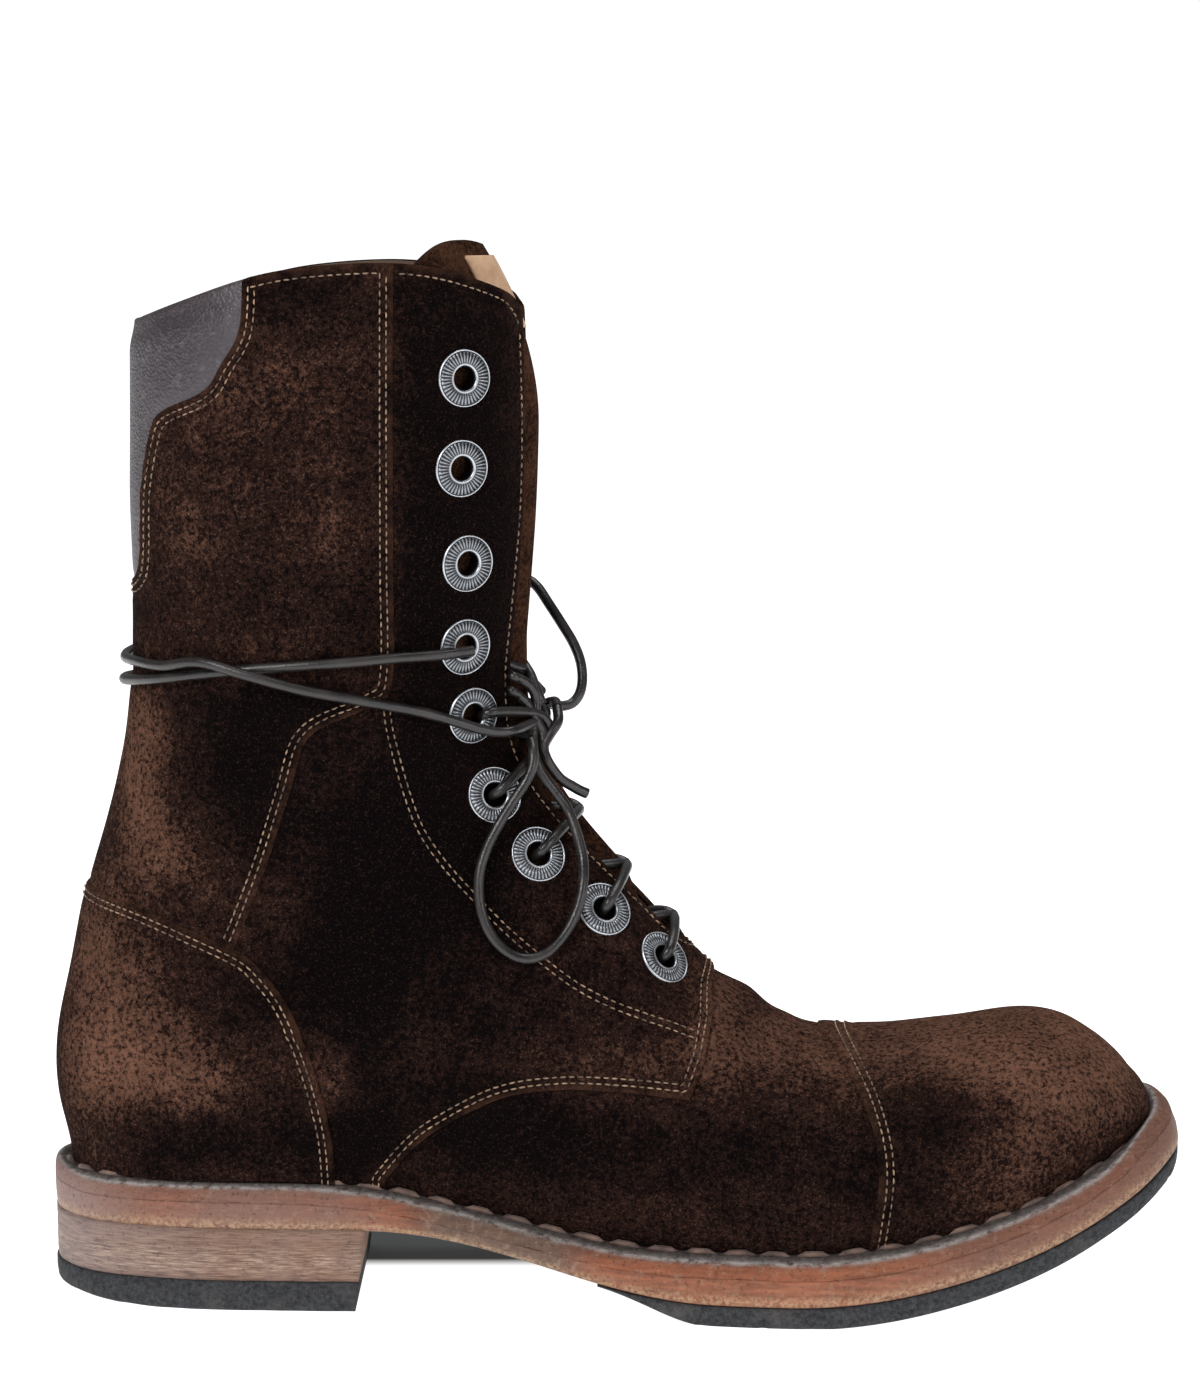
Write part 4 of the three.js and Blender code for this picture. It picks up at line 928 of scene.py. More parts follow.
def region_field(shape, x, z):
    """Distance from the outline, positive inside it."""
    seam, corners = shape
    outline = np.array([*smooth_line(side_points(seam)), *side_points(corners)])
    nearest = np.full(x.shape, np.inf)
    inside = np.zeros(x.shape, bool)
    for (x0, z0), (x1, z1) in zip(outline, np.roll(outline, -1, 0)):
        nearest = np.minimum(nearest, line_distance(x, z, (x0, z0), (x1, z1 + 1e-9)))
        if z0 != z1:
            crosses = (z0 > z) != (z1 > z)
            inside ^= crosses & (x < x0 + (z - z0) * (x1 - x0) / (z1 - z0))
    return np.where(inside, nearest, -nearest)


def throat_field(x, y, z):
    """Distance outside the slot through the front wall."""
    low = THROAT_WIDTH_BOTTOM / 2
    top = HEEL_HEIGHT + 1.15 * SHAFT_HEIGHT
    start = THROAT_BOTTOM + low
    half = mix(low, THROAT_WIDTH_TOP / 2, np.clip((z - start) / (top - start), 0, 1))
    side = np.abs(y) - half
    end = np.hypot(y, np.minimum(z - start, 0)) - low
    slot = np.where(z < start, end, side)
    return np.where(x > SHAFT_CENTRE + 0.2 * SHAFT_LENGTH, slot, 99)


EYELET_ROWS = [(27.7, 0.297), (26.33, 0.304), (24.65, 0.283), (22.88, 0.267), (20.28, 0.223),
               (16.2, 0.196), (14.18, 0.2), (12.62, 0.186), (11.55, 0.163)]
SIDES = {"outer": -1, "inner": 1}
EYELET_SEAT = PANEL + 0.1
EYELETS = {f"eyelet_{name}_{k + 1}": (t, side * turn)
           for name, side in SIDES.items() for k, (t, turn) in enumerate(EYELET_ROWS)}


def eyelet_field(p):
    nearest = np.full(p.shape[:-1], 99.0)
    for t, a in EYELETS.values():
        centre = surface(t, a)
        way = p - centre
        n = normal(t, a)
        across = way - (way @ n)[..., None] * n
        distance = np.linalg.norm(way, axis=-1)
        off = np.where(distance < 3 * EYELET_RADIUS, np.linalg.norm(across, axis=-1), distance)
        nearest = np.minimum(nearest, off - EYELET_BARREL_RADIUS + 0.2)
    return nearest


def fields_on(p):
    x, y, z = p[..., 0], p[..., 1], p[..., 2]
    return {
        "collar": region_field(COLLAR_LINE, x, z),
        "patch": region_field(COLLAR_PATCH, x, z),
        "shaft": region_field(SHAFT_SEAM, x, z),
        "counter": region_field(COUNTER_SEAM, x, z),
        "quarter": region_field(QUARTER_SEAM, x, z),
        "cap": region_field(CAP_SEAM, x + CAP_SHIFT, z),
        "throat": throat_field(x, y, z),
        "eyelet": eyelet_field(p),
    }


# Where the suede is paler, from real scuffs and from painted sheen along the edges that turn away at the toe, the
# heel's back and the shaft's back; and where it is darker: middle, reach forward and up, strength
SCUFFS_AND_SHEEN = [
    ((282, 62), (22, 13), 0.95),
    ((236, 68), (34, 7), 0.6),
    ((262, 44), (20, 10), 0.45),
    ((215, 62), (12, 12), 0.35),
    ((196, 70), (14, 10), 0.45),
    ((256, 30), (16, 7), 0.4),
    ((24, 72), (18, 20), 0.75),
    ((44, 62), (16, 9), 0.55),
    ((14, 56), (10, 22), 0.45),
    ((78, 62), (7, 9), 0.7),
    ((18, 98), (12, 16), 0.45),
    ((76, 208), (12, 20), 0.3),
    ((44, 204), (12, 20), 0.35),
    ((50, 236), (16, 10), 0.3),
    ((28, 146), (9, 28), 0.85),
    ((38, 122), (12, 12), 0.45),
    ((58, 178), (14, 8), 0.3),
    ((70, 250), (20, 10), 0.2),
    ((178, 78), (8, 20), 0.55),
    ((150, 66), (30, 6), 0.35),
    ((258, 64), (26, 9), 0.7),
    ((88, 158), (6, 12), 0.3),
]
DARKS = [
    ((112, 200), (14, 70), 1.3),
    ((112, 56), (20, 14), 0.6),
    ((108, 130), (26, 34), 0.9),
    ((150, 46), (60, 12), 0.45),
    ((218, 36), (30, 10), 0.25),
    ((84, 44), (10, 10), 0.7),
    ((66, 268), (30, 8), 0.4),
    ((30, 184), (6, 16), 0.3),
    ((84, 96), (14, 34), 0.9),
    ((58, 142), (12, 20), 0.9),
    ((60, 160), (30, 8), 0.5),
    ((44, 46), (40, 7), 0.5),
    ((62, 84), (12, 10), 0.5),
    ((240, 52), (12, 8), 0.4),
    ((70, 186), (24, 10), 0.4),
]


def patches(p, table):
    total = np.zeros(p.shape[:-1])
    for (x, z), (reach, up), strength in table:
        total += strength * np.exp(-(((p[..., 0] - x) / reach) ** 2 + ((p[..., 2] - z) / up) ** 2))
    return np.clip(total, 0, 1)


EDGE_ROUND = 0.7


def panel(name, grid, field, top, material, bottom=-0.2, puff=0, grooves=(), fade=1.4):
    """A sheet of leather on the last, cut along the field's zero line, with a rounded edge."""
    t, a, d, faces = clip(grid, field)
    near = np.clip(1 - d / EDGE_ROUND, 0, 1)
    height = top - EDGE_ROUND * (1 - np.sqrt(1 - near ** 2)) * 0.8
    height = height + puff * rise(d, 0, 9)
    for at in grooves:
        height = height - 0.22 * bell(d - at, 0.7)
    points = skin(t, a, height)
    p = surface(t, a)
    # The paler patches hold both real scuffs and painted sheen at the toe, the heel's back and the shaft's back.
    fields = {"scuff_and_sheen": patches(p, SCUFFS_AND_SHEEN), "dark": patches(p, DARKS), "edge": np.exp(-d / fade)}
    edges = border(faces)
    edges = edges[(d[edges] < 1e-6).all(1)]
    rim, back = np.unique(edges, return_inverse=True)
    back = back.reshape(edges.shape)
    low = skin(t[rim], a[rim], np.full(len(rim), float(bottom)))
    wall_a, wall_b = edges[:, 0], edges[:, 1]
    low_a, low_b = back[:, 0] + len(points), back[:, 1] + len(points)
    walls = np.concatenate([np.stack([wall_b, wall_a, low_a], -1), np.stack([wall_b, low_a, low_b], -1)])
    fields = {key: np.concatenate([values, values[rim]]) for key, values in fields.items()}
    piece = make_mesh(name, np.concatenate([points, low]), np.concatenate([faces, walls]), material, fields)
    return piece


def lowest(*fields):
    return np.minimum.reduce(fields)


def make_upper(grid, f, material):
    """The base skin (vamp and what shows between the panels), and the panels over it."""
    open_edges = lowest(f["collar"], f["throat"], f["eyelet"])
    deep = 3.5
    covered = np.maximum.reduce([f["quarter"], f["shaft"], f["counter"], f["cap"]])
    vamp = panel("upper", grid, lowest(open_edges, deep - covered), 0.0, material, bottom=-1.6)
    dress(vamp, "suede", "upper")
    under_shaft = deep - np.maximum(f["shaft"], f["counter"])
    quarter = panel("quarter", grid, lowest(open_edges, f["quarter"], under_shaft), PANEL, material,
                    grooves=(2.2, 4.4))
    dress(quarter, "suede")
    shaft = panel("shaft_panel", grid, lowest(f["collar"], f["shaft"], -f["patch"], deep - f["counter"]),
                  PANEL + 0.75, material, grooves=(2.1, 4.3))
    dress(shaft, "suede", "shaft_panel")
    counter = panel("heel_counter", grid, f["counter"], PANEL + 1.35, material, grooves=(2.2, 4.4))
    dress(counter, "suede", "heel_counter")
    cap = panel("toe_cap", grid, f["cap"], PANEL - 0.1, material, grooves=(3.2, 5.4))
    dress(cap, "suede", "toe_cap")


def make_collar(grid, f, material):
    pad = panel("collar_pad", grid, lowest(f["collar"], f["patch"] + 5), 0.5, material, puff=1.3, fade=3)
    dress(pad, "smooth_leather", "collar_pad")


def make_lining(grid, f, material):
    t, a, d, faces = clip(grid, lowest(f["collar"], f["throat"], f["eyelet"]) - 0.3)
    p = surface(t, a)
    points = p + normal(t, a) * (np.minimum(relief(p), 0.3) - WALL + 0.2)[:, None]
    piece = make_mesh("lining", points, faces[:, ::-1], material, {"edge": np.zeros(len(points))})
    dress(piece, "lining")


# Lines on the upper, for the stitches: where a field has a value
def contour(grid, field, level):
    f = field - level
    rows, columns = f.shape
    inside = f > 0
    links = {}

    def cross(i, j, i2, j2):
        share = f[i, j] / (f[i, j] - f[i2, j2])
        return mix(grid.t[i, j], grid.t[i2, j2], share), mix(grid.a[i, j], grid.a[i2, j2], share)

    corners = inside[:-1, :-1].astype(int) + inside[:-1, 1:] + inside[1:, 1:] + inside[1:, :-1]
    places = {}
    for i, j in np.argwhere((corners > 0) & (corners < 4)):
        found = []
        for (i0, j0), (i1, j1) in (((i, j), (i, j + 1)), ((i, j + 1), (i + 1, j + 1)),
                                   ((i + 1, j), (i + 1, j + 1)), ((i, j), (i + 1, j))):
            if inside[i0, j0] != inside[i1, j1]:
                key = (i0, j0, i1, j1)
                places.setdefault(key, cross(i0, j0, i1, j1))
                found.append(key)
        for first, second in zip(found[::2], found[1::2]):
            links.setdefault(first, []).append(second)
            links.setdefault(second, []).append(first)
    chains = []
    while links:
        start = next((key for key, near in links.items() if len(near) == 1), next(iter(links)))
        chain, key = [start], start
        while links.get(key):
            following = links[key].pop()
            links[following].remove(key)
            if not links[key]:
                del links[key]
            key = following
            chain.append(key)
        if key in links and not links[key]:
            del links[key]
        if len(chain) > 3:
            chains.append(np.array([places[k] for k in chain]))
    return chains


def line_on_side(grid, points, side):
    """A line given from the side, found on the outer or the inner half of the last."""
    half = grid.columns // 2
    columns = slice(2, half - 2) if side < 0 else slice(half + 3, grid.columns - 2)
    t, a, p = grid.t[:, columns].ravel(), grid.a[:, columns].ravel(), grid.p[:, columns].reshape(-1, 3)
    found = []
    for x, z in points:
        k = np.argmin((p[:, 0] - x) ** 2 + (p[:, 2] - z) ** 2)
        tt, aa = t[k], a[k]
        for _ in range(6):
            here = surface(tt, aa)
            step = 1e-3
            dt = (surface(tt + step, aa) - here) / step
            da = (surface(tt, aa + step) - here) / step
            matrix = np.array([[dt[0], da[0]], [dt[2], da[2]]])
            if abs(np.linalg.det(matrix)) < 1e-6:
                break
            change = np.linalg.solve(matrix, [x - here[0], z - here[2]])
            tt += float(np.clip(change[0], -0.3, 0.3))
            aa += float(np.clip(change[1], -0.05, 0.05))
            aa = side * min(max(side * aa, 0.01), 0.99)
        found.append((tt, aa))
    return np.array(found)


# Stitches
STITCH_RINGS = 5
STITCH_SIDES = 6


def stitch_form(length, thickness):
    """One stitch along +X with its ends let into the leather: points and triangles."""
    points, faces = [], []
    for k in range(STITCH_RINGS):
        along = (k / (STITCH_RINGS - 1) - 0.5) * 2
        girth = thickness / 2 * math.sqrt(max(0.12, 1 - along ** 4))
        lift = thickness * (0.28 - 0.55 * along ** 4)
        for m in range(STITCH_SIDES):
            angle = 2 * math.pi * m / STITCH_SIDES
            points.append((along * length / 2, girth * math.cos(angle), lift + girth * math.sin(angle)))
    for k in range(STITCH_RINGS - 1):
        for m in range(STITCH_SIDES):
            n = (m + 1) % STITCH_SIDES
            a, b = k * STITCH_SIDES + m, k * STITCH_SIDES + n
            c, d = a + STITCH_SIDES, b + STITCH_SIDES
            faces += [(a, c, b), (b, c, d)]
    for base, flip in ((0, 1), ((STITCH_RINGS - 1) * STITCH_SIDES, -1)):
        for m in range(1, STITCH_SIDES - 1):
            faces.append((base, base + m, base + m + 1)[::flip])
    return np.array(points), np.array(faces)


class Stitches:
    """Gathers stitches along lines and makes one mesh of them."""

    def __init__(self, length, thickness, pitch, seed):
        self.form, self.faces = stitch_form(length, thickness)
        self.pitch = pitch
        self.points = []
        self.random = np.random.default_rng(seed)

    def along(self, places, ups):
        gaps = np.linalg.norm(np.diff(places, axis=0), axis=1)
        travelled = np.concatenate([[0], np.cumsum(gaps)])
        keep = np.concatenate([[True], gaps > 1e-9])
        places, ups, travelled = places[keep], ups[keep], travelled[keep]
        count = int(travelled[-1] / self.pitch)
        for k in range(count):
            s = (k + 0.5) * self.pitch
            middle = self.sample(travelled, places, s)
            ahead = self.sample(travelled, places, s + self.pitch / 4)
            behind = self.sample(travelled, places, s - self.pitch / 4)
            up = unit(self.sample(travelled, ups, s))
            way = unit(unit(ahead - behind) + self.random.normal(0, 0.04, 3))
            side = unit(np.cross(up, way))
            up = np.cross(way, side)
            form = self.form * (1 + self.random.normal(0, 0.05))
            self.points.append(middle + form[:, :1] * way + form[:, 1:2] * side + form[:, 2:] * up)

    @staticmethod
    def sample(travelled, values, s):
        return np.array([np.interp(s, travelled, values[:, k]) for k in range(3)])

    def make(self, name, material, slot):
        count = len(self.points)
        points = np.concatenate(self.points)
        faces = (self.faces[None] + np.arange(count)[:, None, None] * len(self.form)).reshape(-1, 3)
        return dress(make_mesh(name, points, faces, material), slot)


def on_leather(line, height):
    t, a = line[:, 0], line[:, 1]
    return skin(t, a, np.full(len(t), float(height))), normal(t, a)


def runs(line, keep):
    """The stretches of a line where keep says yes."""
    stretches, current = [], []
    for point, flag in zip(line, keep):
        if flag:
            current.append(point)
        elif current:
            stretches.append(current)
            current = []
    stretches.append(current)
    return [np.array(stretch) for stretch in stretches if len(stretch) > 4]


def make_stitches(grid, f, material):
    thread_work = Stitches(1.55, 0.42, 2.25, 7)

    def follow(name, level, height, allowed):
        for line in contour(grid, f[name], level):
            here = fields_on(surface(line[:, 0], line[:, 1]))
            for stretch in runs(line, allowed(here)):
                thread_work.along(*on_leather(stretch, height))

    edge = 1.2
    for level in (1.8, 3.4):
        follow("shaft", level, PANEL + 0.75, lambda h: lowest(
            h["collar"] - edge, -h["patch"] - edge, -h["counter"] - 0.5) > 0)
    for level in (1.7, 3.3):
        follow("counter", level, PANEL + 1.35, lambda h: h["collar"] > 0)
        follow("quarter", level, PANEL, lambda h: lowest(
            h["collar"], -h["shaft"] - 0.5, -h["counter"] - 0.5, h["throat"] - 2) > 0)
    for level in (2.0, 3.7):
        follow("cap", level, PANEL - 0.1, lambda h: h["cap"] > 0)
    for level in (-1.8, -3.4):
        follow("patch", level, PANEL + 0.75, lambda h: lowest(h["collar"] - edge, h["shaft"]) > 0)
    follow("collar", 2.6, PANEL + 0.75, lambda h: lowest(h["shaft"] - 1, -h["patch"] - edge) > 0)
    follow("collar", 2.6, PANEL, lambda h: lowest(-h["shaft"] - 1, h["throat"] - 2.5) > 0)
    follow("throat", 2.8, PANEL, lambda h: lowest(h["collar"] - 2.6, h["quarter"] - 1, h["eyelet"] - 3) > 0)
    for side in SIDES.values():
        line = np.array(smooth_line(side_points(EYESTAY_SEAM), 10))
        for shift in (-0.8, 0.8):
            way = unit(np.gradient(line, axis=0))
            shifted = line + shift * np.stack([way[:, 1], -way[:, 0]], -1)
            places = line_on_side(grid, shifted, side)
            thread_work.along(*on_leather(places, PANEL))
    thread_work.make("stitches", material, "waxed_lace")


# Eyelets: a flat ring with radial ribs between two rims, with painted highlights on the rims and on the ribs' tops
EYELET_RIBS = 40
EYELET_LEAN = 0.09
# Profile rows: radius, height, and how much painted highlight the metal takes there
EYELET_PROFILE = [
    (3.1, -3.4, 0), (3.05, -0.6, 0), (3.15, 0.15, 0.2), (3.45, 0.62, 0.9), (3.8, 0.66, 0.6), (4.0, 0.42, 0.05),
    (4.1, 0.4, 0), (6.8, 0.3, 0), (6.92, 0.1, 0), (7.05, 0.12, 0), (7.18, 0.4, 0.9), (7.38, 0.34, 1),
    (7.5, -0.25, 0.2),
]


def make_eyelets(material):
    angles = np.arange(EYELET_RIBS * 6) / (EYELET_RIBS * 6) * 2 * np.pi
    count = len(angles)
    radius, height, bright = (np.array([row[k] for row in EYELET_PROFILE]) for k in range(3))
    between = (radius > 4.05) & (radius < 6.85)
    ribs = 0.5 + 0.5 * np.cos(EYELET_RIBS * angles)
    for name, (t, a) in EYELETS.items():
        n = unit(normal(t, a) + np.array([0, math.copysign(EYELET_LEAN, a), 0]))
        along = unit(surface(t + 0.01, a) - surface(t - 0.01, a))
        along = unit(along - (along @ n) * n)
        side = np.cross(n, along)
        centre = skin(np.array([t]), np.array([a]), np.array([EYELET_SEAT + 0.2]))[0]
        lift = height[:, None] + between[:, None] * 0.28 * ribs[None]
        points = (centre + radius[:, None, None] * (np.cos(angles)[None, :, None] * along
                  + np.sin(angles)[None, :, None] * side) + lift[..., None] * n).reshape(-1, 3)
        # Painted highlight: bright metal on the rims and on each rib's top, passed on in the edge field.
        shine = bright[:, None] + between[:, None] * 0.6 * ribs[None] ** 2
        faces = []
        for k in range(len(radius) - 1):
            here = k * count + np.arange(count)
            after = k * count + (np.arange(count) + 1) % count
            faces.append(np.stack([here, here + count, after + count, after], -1))
        piece = make_mesh(name + "_ring", points, np.concatenate(faces), material, {"edge": shine.ravel()})
        dress(piece, "gunmetal", name)


# Tongue and its label
TONGUE_TURN = 0.34
TONGUE_START = 10.5
TONGUE_BULGE_LOW = 0.06
TONGUE_BULGE_HIGH = 0.12
TONGUE_PROUD = 2.6
TONGUE_LEAN_START = HEEL_HEIGHT + 0.82 * SHAFT_HEIGHT
TONGUE_LEAN = 14
TONGUE_TOP = (
    [(0.29, 0.93), (0.32, 0.965), (0.35, 1.005), (0.372, 1.02), (0.395, 1.017), (0.415, 1.005)],
    [(0.48, 1), (0.8, 1), (0.8, 0), (0.25, 0), (0.25, 0.9)],
)
LABEL_WIDTH = 22
LABEL_HEIGHT = 18


def tongue_points(t, a, depth):
    under = -WALL - 2 * CLEARANCE
    low = fall(t, TONGUE_START + 1.1, TONGUE_START + 2.3)
    bulge_turn = mix(TONGUE_BULGE_HIGH, TONGUE_BULGE_LOW, fall(t, 18, 26))
    bulge = fall(np.abs(a) / bulge_turn, 0, 1) * (1 - low)
    p = surface(t, a) + normal(t, a) * (mix(under, TONGUE_PROUD, bulge) - depth)[..., None]
    above = np.maximum(0, p[..., 2] - TONGUE_LEAN_START) / (0.2 * SHAFT_HEIGHT)
    p[..., 0] -= TONGUE_LEAN * above ** 2
    return p


def strip_grid(t_from, t_to, rows, turn, columns):
    t, a = np.meshgrid(np.linspace(t_from, t_to, rows), np.linspace(-turn, turn, columns), indexing="ij")
    ids = np.arange(t.size).reshape(t.shape)
    quads = np.stack([ids[:-1, :-1], ids[:-1, 1:], ids[1:, 1:], ids[1:, :-1]], -1).reshape(-1, 4)
    strip = Grid.__new__(Grid)
    strip.t, strip.a, strip.quads = t, a, quads
    strip.rows, strip.columns = t.shape
    return strip


def solid_sheet(name, strip, field, place, outer, inner, material, fields=None):
    """A closed sheet: both faces and a wall round its edge."""
    t, a, d, faces = clip(strip, field)
    points = np.concatenate([place(t, a, outer), place(t, a, inner)])
    edges = border(faces)
    n = len(t)
    walls = np.concatenate([
        np.stack([edges[:, 1], edges[:, 0], edges[:, 0] + n], -1),
        np.stack([edges[:, 1], edges[:, 0] + n, edges[:, 1] + n], -1),
    ])
    all_faces = np.concatenate([faces, faces[:, ::-1] + n, walls])
    piece = make_mesh(name, points, all_faces, material, {"edge": np.tile(np.exp(-np.abs(d) / 2), 2)})
    return piece


def make_tongue(material, label_material):
    strip = strip_grid(TONGUE_START, LAST_SECTION, 240, TONGUE_TURN, 70)
    p = tongue_points(strip.t, strip.a, 0)
    field = region_field(TONGUE_TOP, p[..., 0], p[..., 2])
    edge = (1 - np.abs(strip.a) / TONGUE_TURN) * 60
    dress(solid_sheet("tongue", strip, lowest(field, edge + 1e-3), tongue_points, 0.0, TONGUE_THICKNESS, material),
          "suede", "tongue")
    top = HEEL_HEIGHT + SHAFT_HEIGHT
    label = lowest(LABEL_WIDTH / 2 - np.abs(p[..., 1]), top - p[..., 2] + 1, p[..., 2] - top + LABEL_HEIGHT,
                   99 * (p[..., 0] - SHAFT_CENTRE) / SHAFT_LENGTH)
    dress(solid_sheet("tongue_label", strip, label, tongue_points, -CLEARANCE - 0.8, -0.1, label_material),
          "label", "tongue_label")


# Sole: loops of the feather line, each a margin out from it
def welt_margin(x):
    def smoothstep(v, low, high):
        s = np.clip((v - low) / (high - low), 0, 1)
        return s * s * (3 - 2 * s)
    share = x / LAST_LENGTH
    return (mix(WELT_AT_HEEL, WELT_AT_BALL, smoothstep(share, 0.05, 0.55))
            + (WELT_AT_TOE - WELT_AT_BALL) * smoothstep(share, 0.78, 1))


def sole_stations(count):
    probe = np.linspace(0, FEATHER_END, 3000)
    s = section_at(np.minimum(probe, FEATHER_END - 1e-6))
    steps = np.hypot(np.diff(s[:, 0]), np.diff(s[:, FEATHER[0]]))
    travelled = np.concatenate([[0], np.cumsum(steps)])
    return np.interp(np.linspace(0, travelled[-1], count), travelled, probe)


SOLE_T = sole_stations(260)
TOE_LEAN = 6
HEEL_LIP = 3.5


def feather_point(t, side):
    s = section_at(np.clip(t, 0, FEATHER_END - 1e-9))
    half = s[..., FEATHER[0]] if side < 0 else s[..., FEATHER[1]]
    return np.stack([s[..., 0], s[..., CENTRE] + side * half], -1)


def edge_line(t, side, share, extra):
    """Points of the outline a share of the welt's margin, and an extra, out from the feather line."""
    small = 1e-3
    p = feather_point(t, side)
    along = feather_point(t + small, side) - feather_point(np.maximum(t - small, 0), side)
    out = unit(side * np.stack([along[:, 1], -along[:, 0]], -1))
    out[t <= 0] = (1, 0)
    out[t >= FEATHER_END - 1e-6] = (-1, 0)
    return p, p + out * (share * welt_margin(p[:, 0]) + extra)[:, None]


def toe_lean(x, at_height):
    """The sole's tip slopes back towards its top."""
    return TOE_LEAN * (1 - at_height) * rise(x, LAST_LENGTH - 18, LAST_LENGTH + 4)


def sole_loop(share, extra, at, top, bottom, lean=1.0):
    points = []
    for side in (-1, 1):
        feather, p = edge_line(SOLE_T, side, share, extra)
        x = p[:, 0]
        height = mix(top(x), bottom(x), at)
        p = np.column_stack([x - share * toe_lean(x, lean), p[:, 1], height + share * heel_lip(x, lean)])
        points.append(p if side < 0 else p[1:-1][::-1])
    return np.concatenate(points)


def heel_lip(x, at_height):
    return HEEL_LIP * (1 - at_height) * fall(x, -4, 14)


def loops_to_faces(levels, count, closed):
    faces = []
    here = np.arange(count)
    after = (here + 1) % count
    for level in range(levels if closed else levels - 1):
        upper = level * count
        lower = ((level + 1) % levels) * count
        faces.append(np.stack([upper + here, lower + here, lower + after, upper + after], -1))
    if not closed:
        base = (levels - 1) * count
        half = count // 2
        k = np.arange(half)
        across = (count - k) % count
        faces.append(np.stack([k, k + 1, count - k - 1, across], -1))
        faces.append(np.stack([base + across, base + count - k - 1, base + k + 1, base + k], -1))
    return np.concatenate(faces)


def tidy_faces(faces):
    """Triangles from quads, without the flat ones at the tips."""
    triangles = np.concatenate([faces[:, [0, 1, 2]], faces[:, [0, 2, 3]]])
    a, b, c = triangles.T
    return triangles[(a != b) & (b != c) & (c != a)]


def wander(points, amount, seed, reach=6.0):
    """A small unevenness that runs along a worn edge."""
    random = np.random.default_rng(seed)
    total = np.zeros(len(points))
    for k in range(5):
        way = random.normal(0, 1, 3) / reach * (1.6 ** k)
        total += np.sin(points @ way + random.uniform(0, 6.3)) / (1.35 ** k)
    return amount * total / 2.2


def make_layer(name, levels, top, bottom, material, slot, node, ring=False, rough=0.0, marks=None, cut=None):
    loops = [sole_loop(top=top, bottom=bottom, **level) for level in levels]
    count = len(loops[0])
    points = np.concatenate(loops)
    if rough:
        middle = np.array([LAST_LENGTH / 2, 0])
        out = unit(np.column_stack([points[:, 0] * 0, points[:, 1] - middle[1]]))
        points[:, :2] += out * wander(points, rough, len(name))[:, None]
    if cut is not None:
        points = cut(points, count)
    fields = {"edge": np.repeat(marks["edge"], count), "tan": np.repeat(marks["tan"], count)} if marks else None
    faces = tidy_faces(loops_to_faces(len(levels), count, ring))
    return dress(make_mesh(name, points, faces, material, fields), slot, node)


def welt_bottom(x):
    return top_line(x) - WELT_THICKNESS


def level(share, extra, at, lean=1.0):
    """lean: 1 at the foot of the sole's edge, 0 at its top."""
    return {"share": share, "extra": extra, "at": at, "lean": lean}


def make_welt(material):
    levels = [
        level(0, -WELT_LIP, 0, 0), level(0.3, 0, 0, 0), level(0.5, 0, 0.09, 0), level(0.62, 0, 0.16, 0),
        level(0.72, 0, 0.22, 0), level(0.8, 0, 0.28, 0.04), level(0.88, 0, 0.36, 0.1), level(0.95, 0, 0.5, 0.18),
        level(0.99, 0, 0.68, 0.3), level(1, 0, 0.84, 0.42), level(1, 0, 1, 0.55), level(0, -WELT_LIP, 1),
    ]
    marks = {"edge": [0, 0, 0.1, 0.35, 0.85, 0.6, 0.1, 0, 0, 0, 0, 0],
             "tan": [0, 0, 0, 0, 0.1, 0.75, 1, 1, 1, 1, 1, 0]}
    make_layer("welt", levels, top_line, welt_bottom, material, "welt_leather", "welt", ring=True, rough=0.22,
               marks=marks)


def make_midsole(material):
    levels = [
        level(1, 0, 0, 0.55), level(1, 0, 0.08, 0.6), level(1, 0, 0.3, 0.7), level(1, -0.1, 0.55, 0.85),
        level(1, -0.3, 0.8, 0.95), level(1, -0.5, 0.95), level(1, -0.9, 1),
    ]
    marks = {"edge": [0, 0, 0, 0, 0, 0.3, 1], "tan": [0, 0, 0, 0.2, 1, 1, 0.4]}
    make_layer("midsole", levels, welt_bottom, leather_line, material, "sole_leather", "midsole",
               rough=0.12, marks=marks)


def make_insole(material):
    levels = [level(0, -WELT_LIP - 5, 0), level(0, -WELT_LIP - 1.6, 0.06), level(0, -WELT_LIP - 1.2, 0.3),
              level(0, -WELT_LIP - 1.0, 1)]
    make_layer("insole", levels, lambda x: top_line(x) + INSOLE_RISE, welt_bottom, material, "lining", "insole")


BREAST_LOW = HEEL_LENGTH - BREAST_SLOPE
BREAST_TOP = HEEL_LENGTH + BREAST_SLOPE
HEEL_SIDE_STEPS = 90


def heel_outline(extra, z):
    """The heel's plan at a height: round the back, straight across the breast."""
    breast = mix(BREAST_LOW, BREAST_TOP, z / HEEL_HEIGHT)
    rows = []
    for side in (-1, 1):
        probe = np.linspace(11, FEATHER_END, 1200)
        _, p = edge_line(probe, side, 1, extra)
        p = p[p[:, 0] <= breast]
        travelled = np.concatenate([[0], np.cumsum(np.linalg.norm(np.diff(p, axis=0), axis=1))])
        even = np.linspace(0, travelled[-1], HEEL_SIDE_STEPS)
        line = np.column_stack([np.interp(even, travelled, p[:, k]) for k in (0, 1)])
        line[0, 0] = breast
        rows.append(line)
    outer, inner = rows
    return np.concatenate([outer, inner[:-1][::-1]])


